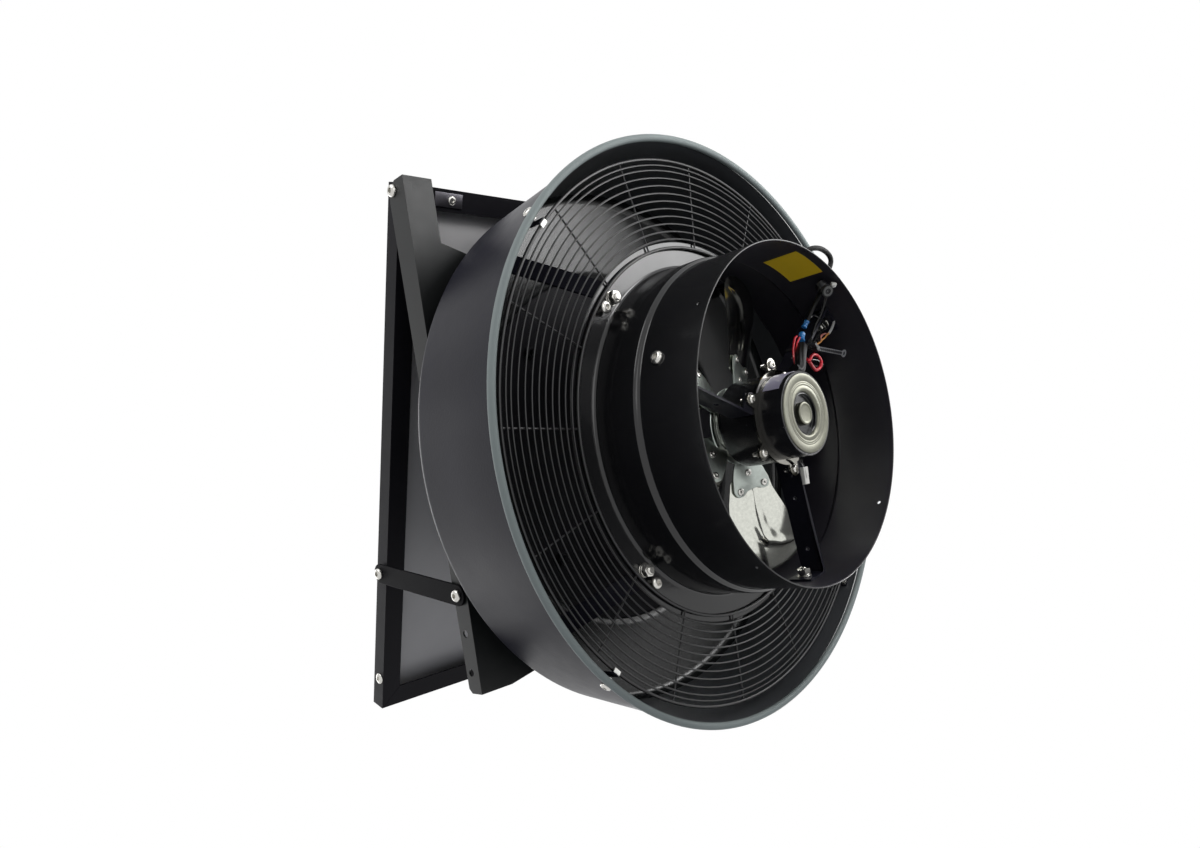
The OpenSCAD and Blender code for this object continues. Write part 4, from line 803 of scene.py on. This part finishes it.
stations = [57 + 0.5 * k for k in range(8)] + [61 + 1.5 * k for k in range(66)]
stations += [160 + 0.8 * k for k in range(18)] + [174.6, 175.4, 176, 176.4, 176.7]
columns = 64
rows = []
for x in stations:
    room = math.sqrt(max(0.04, tip_r * tip_r - x * x))
    low = max(y_at(blade_low, x), -room)
    high = min(y_at(blade_high, x), room)
    row = []
    for k in range(columns + 1):
        y = low + (high - low) * k / columns
        row.append((x, y, 1.35 + sag(y) - stamped(x, y)))
    rows.append(row + [(x, y, z + blade_t) for x, y, z in reversed(row)])
for i in range(1, blades + 1):
    g = Shape()
    g.rows(rows, blade_place(i))
    g.make("blade_%d" % i, blade_metal, "fan", ["fan_blade_%d" % i], 40)
g = Shape()
for i in range(1, blades + 1):
    for x, y in ((56.3, 0), (74.4, -17.4), (74.4, 17.4)):
        up = sag(y)
        g.lathe([(0.9, -1.1), (0.9, -1.9), (1.2, -2.3), (1.7, -2.5), (3.0, -2.45), (3.9, -2.1), (4.2, -1.6),
            (4.15, -1.12), (2.4, -1.05), (2.35, 2.7 + up), (3.4, 2.8 + up), (3.7, 3.4 + up),
            (3.0, 4.0 + up), (1.6, 4.1 + up), (0.9, 3.4 + up)], blade_place(i) @ move(x, y, 0), 28)
g.make("rivet_set", zinc, "fan", ["blade_rivets"])
turned("shaft_turned", steel, "fan", ["motor_shaft"], 40, [(0.01, 11.4), (4.4, 11.4), (5, 12), (5, 113.4),
    (4.4, 114), (0.01, 114)], False)


# Wiring in the collar: the motor's fluted bundle, then its leads
def flutes(w, i):
    return 5.4 + 0.9 * abs(math.cos(3.5 * w + i * 0.05))


def leads(name, material, stands_for, seg, *routes):
    """Smooth tubes, each given as its points and its radius."""
    g = Shape()
    for points, r in routes:
        g.tube(smooth_path(points), r, seg)
    g.make(name, material, "housing", stands_for)


g = Shape()
g.tube(smooth_path([(-11.46, 49.64, 18), (-18.26, 47.57, 18), (-25, 51, 18.5), (-32, 59, 21), (-40, 67, 24),
    (-48, 73, 27), (-54, 77, 30)], 1.2), flutes, 42)
g.make("lead_bundle", sheath_black, "housing", ["motor_lead"], 50)
leads("black_leads", lead_black, (), 10,
    ([(-96.5, 140.5, 13), (-99.5, 133, 15), (-103.9, 121.7, 24), (-104.2, 112.9, 30), (-101.6, 105.4, 35),
    (-97, 97.2, 37), (-90, 89.4, 37), (-79, 82, 34), (-62, 78, 31)], 1.1),
    ([(-95.5, 142.5, 13), (-98.4, 134, 16), (-103.2, 119.1, 26), (-104.6, 109.8, 33), (-102.9, 103.6, 37),
    (-94.8, 93.3, 39), (-86.4, 86.5, 38), (-72, 80, 34), (-60, 79, 32)], 1.0),
    ([(-87.18, 108.23, 38.42), (-92, 112, 37), (-101, 115, 36), (-112, 112, 36), (-122, 110, 37),
    (-130, 112, 36)], 1.4),
    ([(-116, 105.5, 37), (-122, 108.8, 37), (-127, 105.5, 36), (-124, 100.6, 35), (-117, 99, 35),
    (-110, 96, 35), (-98, 89, 34), (-84, 82, 32)], 1.2),
    ([(-101, 87, 36), (-99, 82, 34), (-91, 79.5, 33), (-79, 76.5, 31), (-66, 76, 30)], 1.3),
    ([(-77.7, 82.4, 35), (-86, 88, 37), (-85.7, 83.1, 35), (-76, 78, 32)], 1.2),
    ([(-66, 59, 30), (-76, 62, 32.5), (-86, 61, 32), (-92.5, 57.1, 31), (-94.5, 54.5, 29.5),
    (-86, 53.5, 28.5), (-72, 54, 28), (-63, 57, 28.5), (-55, 66, 28)], 1.1))
leads("red_wires", red, ["red_leads"], 12,
    ([(-31, 53, 24), (-28.5, 58, 26), (-34.5, 69, 30), (-44.5, 80, 34), (-54, 88, 37),
    (-60, 90.5, 38)], 1.3),
    ([(-35, 52, 22), (-31.5, 57, 24), (-37.5, 67.5, 28), (-47, 78, 32), (-57, 85, 35),
    (-63, 88.5, 36)], 1.2),
    ([(-56, 62, 27), (-63, 60, 29.5), (-70.1, 62.4, 31.5), (-79, 67.0, 33.5), (-86.5, 68.2, 34),
    (-92, 66.0, 33.3), (-92.8, 60.2, 31), (-85.5, 54, 28), (-76, 50.4, 25.5), (-67.2, 48.6, 24),
    (-60, 50.5, 22.5), (-52, 58, 22)], 1.9))
leads("white_wire", wire_white, (), 10,
    ([(-151, 115, 38), (-148.5, 111.3, 37.6), (-142.3, 105.5, 36), (-133, 98.7, 34.4),
    (-125, 93.4, 34)], 1.5))
leads("orange_wire", wire_orange, (), 8,
    ([(-125.6, 93.8, 34), (-120, 91.6, 34), (-114, 88.2, 33.6), (-106, 85.6, 33), (-98, 82, 32),
    (-86, 79, 31)], 0.9))
leads("pink_wire", wire_pink, (), 8,
    ([(-125.4, 93, 35.2), (-118.4, 93.4, 35.6), (-111, 91.6, 35.2), (-106, 88.6, 34.4),
    (-104.4, 84.5, 33)], 0.9))


# Crimped splices: a barrel between two flared ends
def splice(shape, a, b, r):
    l = (Vector(b) - Vector(a)).length
    shape.lathe([(0.7 * r, 0), (r, 0.3), (1.02 * r, 1.6), (0.93 * r, 2.2), (0.9 * r, 0.28 * l),
        (0.66 * r, 0.36 * l), (0.86 * r, 0.44 * l), (0.88 * r, 0.56 * l), (0.64 * r, 0.64 * l),
        (0.9 * r, 0.72 * l), (0.93 * r, l - 2.2), (1.02 * r, l - 1.6), (r, l - 0.3), (0.7 * r, l)],
        aim(a, b), 24, loop=False)


g = Shape()
splice(g, (-82.4, 101.3, 40.7), (-87.6, 108.6, 38.3), 3.2)
splice(g, (-64.5, 84, 35.5), (-74.5, 93.6, 39.5), 3.8)
g.make("splice_barrels", blue, "housing", ["splice_connectors"], 50)


# Cable tie: band round the arm, its head, and the toothed tail with a round end
def box(shape, x0, y0, x1, y1, z0, z1, matrix, edge):
    shape.plate([(x0, y0), (x1, y0), (x1, y1), (x0, y1)], z0, z1, matrix, edge)


g = Shape()
arm = rot(140.5, "Z")
box(g, 106, -13.9, 110.5, -12.8, 24.2, 65, arm, 0.2)
box(g, 106, -9.7, 110.5, -8.6, 24.2, 65, arm, 0.2)
box(g, 106, -13.9, 110.5, -8.6, 63.9, 65.1, arm, 0.2)
box(g, 106, -13.9, 110.5, -8.6, 24.0, 25.2, arm, 0.2)
box(g, 104.8, -8.6, 111.8, -3.9, 24, 31, arm, 0.7)
g.make("tie_band", plastic, "housing", ["cable_tie"])
start = Vector((-79, 77.6, 34.5))
finish = Vector((-154.5, 70.3, 37))
length = (finish - start).length
along = (finish - start).normalized()
across = Vector((0.08, -0.35, -1)).cross(along).normalized()
on_tail = Matrix.Translation(start) @ Matrix(
    (along, across, along.cross(across).normalized())).transposed().to_4x4()
on_end = on_tail @ move(length + 4.2, 0, 0)
tooth_step = 4.6
g = Shape()
box(g, 0, -1.5, length, 1.5, -0.5, 0.5, on_tail, 0.1)
g.lathe([(0.01, -0.5), (2.4, -0.5), (2.4, 0.5), (0.01, 0.5)], on_end, 24, loop=False)
g.make("tie_tail", plastic, "housing")
# The teeth and the ring round the tail's end in light grey: painted glints on the black tie
g = Shape()
for k in range(int((length - 4) / tooth_step) + 1):
    x = 4 + k * tooth_step
    for y in (-2.6, 1.2):
        box(g, x, y, x + 1.8, y + 1.4, -0.9, 0.9, on_tail, 0.2)
g.lathe([(2.6, -0.9), (4.4, -0.9), (4.7, -0.5), (4.7, 0.5), (4.4, 0.9), (2.6, 0.9), (2.3, 0.5),
    (2.3, -0.5)], on_end, 28)
g.make("tie_teeth", tooth_glint_grey, "housing")

# Barrel socket: stepped body with its boot, a ring round the mouth, a pin and a pale cap beside it
g = Shape()
socket = aim((-94.5, 136.5, 10), (-101.56, 142.59, 20.44))
g.lathe([(3.4, 0.9), (5.9, 0.9), (6.1, 0.2), (6.7, 0.2), (7, 0.8), (7, 5), (6.5, 5.8), (6.5, 13.2),
    (5.8, 14), (0.01, 14), (0.01, 9), (3.4, 9)], socket, 40, loop=False)
g.lathe([(0.01, 0), (5.9, 0), (5.7, 2), (4.9, 6), (4.2, 9.4), (3.4, 10.2), (0.01, 10.2)],
    aim((-97.8, 141.6, 15.5), (-94.3, 150.3, 19.5)), 32, loop=False)
g.make("socket_body", plastic, "housing", ["dc_socket"])
g = Shape()
g.lathe([(3.4, 0.0), (3.4, -0.3), (5.4, -0.35), (5.7, 0.1), (5.6, 0.85), (3.4, 0.85)], socket, 40)
g.lathe([(0.01, 0.8), (0.7, 0.9), (1, 1.4), (1, 9), (0.01, 9)], socket, 16, loop=False)
g.make("socket_metal", socket_ring, "housing")
g = Shape()
g.lathe([(0.01, 0), (2.2, 0.2), (2.9, 0.8), (3.0, 2.0), (2.5, 5.0), (1.4, 6.6), (0.01, 7.0)],
    aim((-103.4, 144.8, 10.4), (-104.05, 144.7, 9.7)), 24, loop=False)
g.make("socket_cap", white, "housing")

# Two-pin plug with its leads
g = Shape()
plug = move(-15, -66.5, 28.4)
box(g, -4.5, -0.2, 4.5, 9.5, -4.5, 0, plug, 0.35)
box(g, -4.1, -9.5, 4.1, -0.1, -4.3, -0.2, plug, 0.3)
box(g, -1.3, -2.5, 1.3, 5.5, -5.0, -4.4, plug, 0.2)
g.make("plug_body", white, "housing", ["two_pin_plug"])
leads("plug_wires", lead_black, (), 10,
    *[([(-7.9 + d * 0.5, -46.0, 24), (-11 + d, -49, 26.5), (-14 + d, -52.5, 27.5), (-15 + d, -55, 26.8),
    (-15 + d, -57.6, 26.2)], 0.95) for d in (-1.6, 1.6)])

# Solar cable: in at the wall, one loop outside, then up to the dome; its outer run is a cord
cable_r = 3.0
cable = [(-87.18, 108.23, 38.42), (-94, 120, 34), (-101, 132, 29), (-107, 142, 26), (-111.3, 147.7, 26),
    (-116, 154, 26), (-122, 162, 25), (-129, 171, 22), (-130, 179, 20), (-124, 186, 20), (-110, 190, 20),
    (-96, 190, 22), (-87, 187, 28), (-84, 184, 38), (-84, 182, 52), (-85, 181, 70), (-87, 180, 90)]
cable += [polar(r, cable_angle, z) for r, z in ((200, 113), (200, 133), (200, 150), (205, 168.4),
    (218.7, 208.6), (241.5, 249.9), (248.5, 261.7), (cable_top_r, 267.7), (cable_top_r, 273.6))]
g = Shape()
cable_line = smooth_path(cable[4:])
g.tube(cable_line, cable_r, 16)
cable_run = g.make("cable_run", rubber, "housing", ["solar_cable"])
# The cable's run inside the collar takes a darker black than its outer run: painted shade
leads("cable_in_collar", sheath_black, (), 16, (cable[:6], 2.5))
dome_hole = rot(cable_angle, "Z") @ move(cable_top_r, 0, top_z - 3 - (cable_top_r - flat_r) * per_mm)
g = Shape()
g.lathe([(3.9, 0.2), (5.2, 0), (7.4, 0.4), (7.6, 1.2), (7.4, 1.8), (5.9, 1.9), (5.8, 2.1), (5.8, 3.4),
    (5.9, 3.6), (7.4, 3.7), (7.6, 4.3), (7.3, 5.1), (5, 5.5), (3.9, 5.3)],
    out_at(wall_hole_angle, 181.5, wall_hole_z), 32)
g.lathe([(3.05, -6), (5.2, -5.9), (5.8, -5.2), (5.8, 0), (7.8, 0.2), (8, 1), (7.8, 2.0), (5.8, 3.4),
    (5.2, 4), (0.01, 4), (0.01, -3), (3.05, -3)], dome_hole, 32, loop=False)
g.make("cable_grommets", rubber, "housing", ["cable_glands"])

# Dome legs, bracket, straps, panel frame and the motor's inside
for i in range(1, 5):
    dress("dome_leg_%d" % i, black_paint, "housing", 0.4)
for node, material, body, edge in (
        ("panel_bracket", bracket_paint, "housing", 0.45),
        ("frame_rails_side", frame_black, "panel", 0.3), ("frame_rails_end", frame_black, "panel", 0.3),
        ("tilt_strap_left", strap_black, "strap_left", 0.45),
        ("tilt_strap_right", strap_black, "strap_right", 0.45), ("motor_stator", copper, "housing", 0.5),
        ("motor_rotor", iron, "fan", 0.5), ("motor_bearings", steel, "housing", 0.3)):
    dress(node, material, body, edge)
g = Shape()
for x in (-125, 125):
    for y in (-125, 125):
        g.button(move(x, y, 293.5) @ rot(x / 5 + 7, "Z"), *m8, 14)
        g.nut(move(x, y, 282.8), *m8_nut)
        g.stud(move(x, y, 0), 4, 277, 283)
g.make("bracket_bolt_set", frame_black, "housing", ["bracket_bolts"])


def side_place(base, x, y, z, side):
    """A place on the left or right side, its local +Z outwards."""
    return base @ move(side * x, y, z) @ rot(90 * side, "Y") @ rot(31 if side > 0 else 12, "Z")


for name, x, y, screw, length, node in (
        ("frame_screw_set", 262.1, -596.5, (4, 7, 2.4), 11.8, "frame_screws"),
        ("hinge_bolt_set", 264.7, 0, m8, 14.3, "hinge_bolts")):
    g = Shape()
    for side in (-1, 1):
        g.button(side_place(on_panel, x, y, 0, side), *screw, length)
    g.make(name, zinc, "panel", [node])
g = Shape()
for side in (-1, 1):
    base = side_place(on_panel, 268.0, -pivot_along, -pivot_below, side)
    g.button(base, *m8, 17.6)
    g.washer(base @ move(0, 0, -5.9), 7, 4.2, 2.45)
g.make("upper_bolt_set", zinc, "panel", ["strap_upper_bolts"])
for side, name in ((-1, "left"), (1, "right")):
    g = Shape()
    g.button(side_place(on_strap, 267.9, 0, -strap_l, side), *m8, 3)
    g.make("lower_bolt_" + name, zinc, "strap_" + name, ["strap_bolt_" + name])

# Panel: slab, cells with conductors, backsheet, junction box and the small rail plates
g = Shape()
box(g, -260, -634, 260, 8, 9.45, 12.4, on_panel, 0.1)
g.make("laminate_slab", glass, "panel", ["panel_laminate"])
cell_left = -250
cell_w, cell_h = 123.4, 85.6
column_step, row_step = 125.2, 87.4
g = Shape()
for row in range(7):
    y1 = -6 - row_step * row
    y0 = y1 - cell_h
    low_cut, high_cut = (9, 1) if row % 2 == 0 else (1, 9)
    for column in range(4):
        x0 = cell_left + column_step * column
        x1 = x0 + cell_w
        g.plate([(x0 + low_cut, y0), (x1 - low_cut, y0), (x1, y0 + low_cut), (x1, y1 - high_cut),
            (x1 - high_cut, y1), (x0 + high_cut, y1), (x0, y1 - high_cut), (x0, y0 + low_cut)], 12.4, 12.5,
            on_panel, 0.02)
g.make("cells", cell_blue, "panel")
g = Shape()
for column in range(4):
    for k in range(5):
        x = cell_left + column_step * column + 12.7 + 24.5 * k
        box(g, x - 0.5, -618, x + 0.5, -4, 12.5, 12.55, on_panel, 0.01)
g.make("cell_conductors", cell_silver, "panel")
g = Shape()
box(g, -260, -634, 260, 8, 8.6, 9.4, on_panel, 0.1)
g.make("backsheet_film", backsheet, "panel", ["panel_backsheet"])
g = Shape()
box_y = -130
for half_w, half_h, corner, z0, z1, edge in (
        (55, 31, 6, 5.4, 8.35, 0.5), (52.5, 28.5, 5, -4.2, 5.5, 0.4), (53.6, 29.6, 5.5, -5.6, -3.6, 0.6)):
    outline = [(-half_w, box_y - half_h), (half_w, box_y - half_h), (half_w, box_y + half_h),
        (-half_w, box_y + half_h)]
    g.plate(rounded(outline, corner, 5), z0, z1, on_panel, edge)
for x in (-46, 46):
    for y in (-152, -108):
        g.lathe([(0.01, -5.75), (2.2, -5.75), (2.6, -5.5), (2.6, -3.6), (0.01, -3.6)],
            on_panel @ move(x, y, 0), 20, loop=False)
for x in (-22, 22):
    g.lathe([(0.01, 0), (6, 0), (6, 1.6), (5.2, 2), (5.2, 3.2), (5.9, 3.5), (5.9, 5.2), (5.0, 6), (3, 6),
        (3, 1.5), (0.01, 1.5)], on_panel @ move(x, -161, 1.4) @ rot(90, "X"), 24, loop=False)
g.make("junction_box_shell", plastic, "panel", ["junction_box"])
g = Shape()
h = Shape()
for side in (-1, 1):
    x = 197 * side
    box(g, x - 19, -10, x + 19, 6, -10.1, -8.1, on_panel, 0.4)
    h.button(on_panel @ move(193 * side, -2, -10.15) @ rot(180, "X"), 2.5, 5.2, 2.0, 1)
g.make("plate_pair", plate_metal, "panel", ["rail_plates"])
h.make("plate_screws", zinc, "panel")


# Floor, seen from above only: clear from behind and to shadow, mirror and diffuse rays
def largest(tree, first, *others):
    for other in others:
        both = add_node(tree, "ShaderNodeMath", operation="MAXIMUM")
        tree.links.new(first, both.inputs[0])
        tree.links.new(other, both.inputs[1])
        first = both.outputs[0]
    return first


def blend_by(tree, share, first, second, target):
    """Mixes two shaders by a share of the second and joins them to an output's surface."""
    mix = add_node(tree, "ShaderNodeMixShader")
    tree.links.new(share, mix.inputs["Fac"])
    tree.links.new(first.outputs[0], mix.inputs[1])
    tree.links.new(second.outputs[0], mix.inputs[2])
    tree.links.new(mix.outputs[0], tree.nodes[target].inputs["Surface"])


m, tree, s = new_material("floor")
s.inputs["Base Color"].default_value = (0.8, 0.8, 0.8, 1.0)
s.inputs["Roughness"].default_value = 0.7
geometry = add_node(tree, "ShaderNodeNewGeometry")
path = add_node(tree, "ShaderNodeLightPath")
unseen = largest(tree, geometry.outputs["Backfacing"], path.outputs["Is Shadow Ray"],
    path.outputs["Is Glossy Ray"], path.outputs["Is Diffuse Ray"])
blend_by(tree, unseen, s, add_node(tree, "ShaderNodeBsdfTransparent"), "Material Output")
mesh = bpy.data.meshes.new("floor")
mesh.from_pydata([(-6, -6, -0.001), (6, -6, -0.001), (6, 6, -0.001), (-6, 6, -0.001)], [], [(0, 1, 2, 3)])
mesh.materials.append(m)
floor = link_new("floor", mesh)

# World: white to the camera and in reflections, a soft grey room otherwise
world = bpy.data.worlds.new("world")
scene.world = world
world.use_nodes = True
tree = world.node_tree
back = tree.nodes["Background"]
path = add_node(tree, "ShaderNodeLightPath")
room = add_node(tree, "ShaderNodeBackground")
room.inputs["Color"].default_value = (0.9, 0.93, 1.0, 1.0)
room.inputs["Strength"].default_value = 0.3
back.inputs["Color"].default_value = (1.0, 1.0, 1.0, 1.0)
back.inputs["Strength"].default_value = 1.0
seen = largest(tree, path.outputs["Is Camera Ray"], path.outputs["Is Glossy Ray"],
    path.outputs["Is Transmission Ray"])
blend_by(tree, seen, room, back, "World Output")


# Lamps, each aimed at a point and given its size in metres and its power in watts
def lamp(name, at, to, size, power, size_y=None):
    data = bpy.data.lights.new(name, "AREA")
    data.shape = "RECTANGLE"
    data.size = size
    data.size_y = size_y or size
    data.energy = power
    o = link_new(name, data)
    o.location = at
    o.rotation_euler = (Vector(to) - Vector(at)).to_track_quat("-Z", "Y").to_euler()
    o.visible_camera = False


lamp("soft", (-1.08, 0.4, -0.58), (0.05, 0.1, 0.25), 0.5, 4, size_y=0.75)
lamp("cone", (-0.69, 0.17, -0.32), (0.09, 0.24, 0.277), 0.2, 0.68, size_y=0.16)
lamp("flange", (-0.68, 0.43, -0.53), (0.067, 0.188, 0.132), 0.3, 0.85)
lamp("ridge", (-0.24, 0.594, -0.402), (0.246, 0.297, 0.291), 0.25, 2.0)
lamp("front", (0.7, 0.8, -1.8), (0, 0, 0.1), 1.2, 7)
lamp("key", (1.4, 1.9, 0.5), (0.1, 0, 0.2), 1.4, 19)
lamp("top", (0.0, -0.3, 2.6), (0, 0, 0.3), 2.0, 26)
lamp("far", (-1.8, -0.8, 1.2), (0, 0, 0.3), 1.5, 20)

scene.view_settings.view_transform = "Standard"
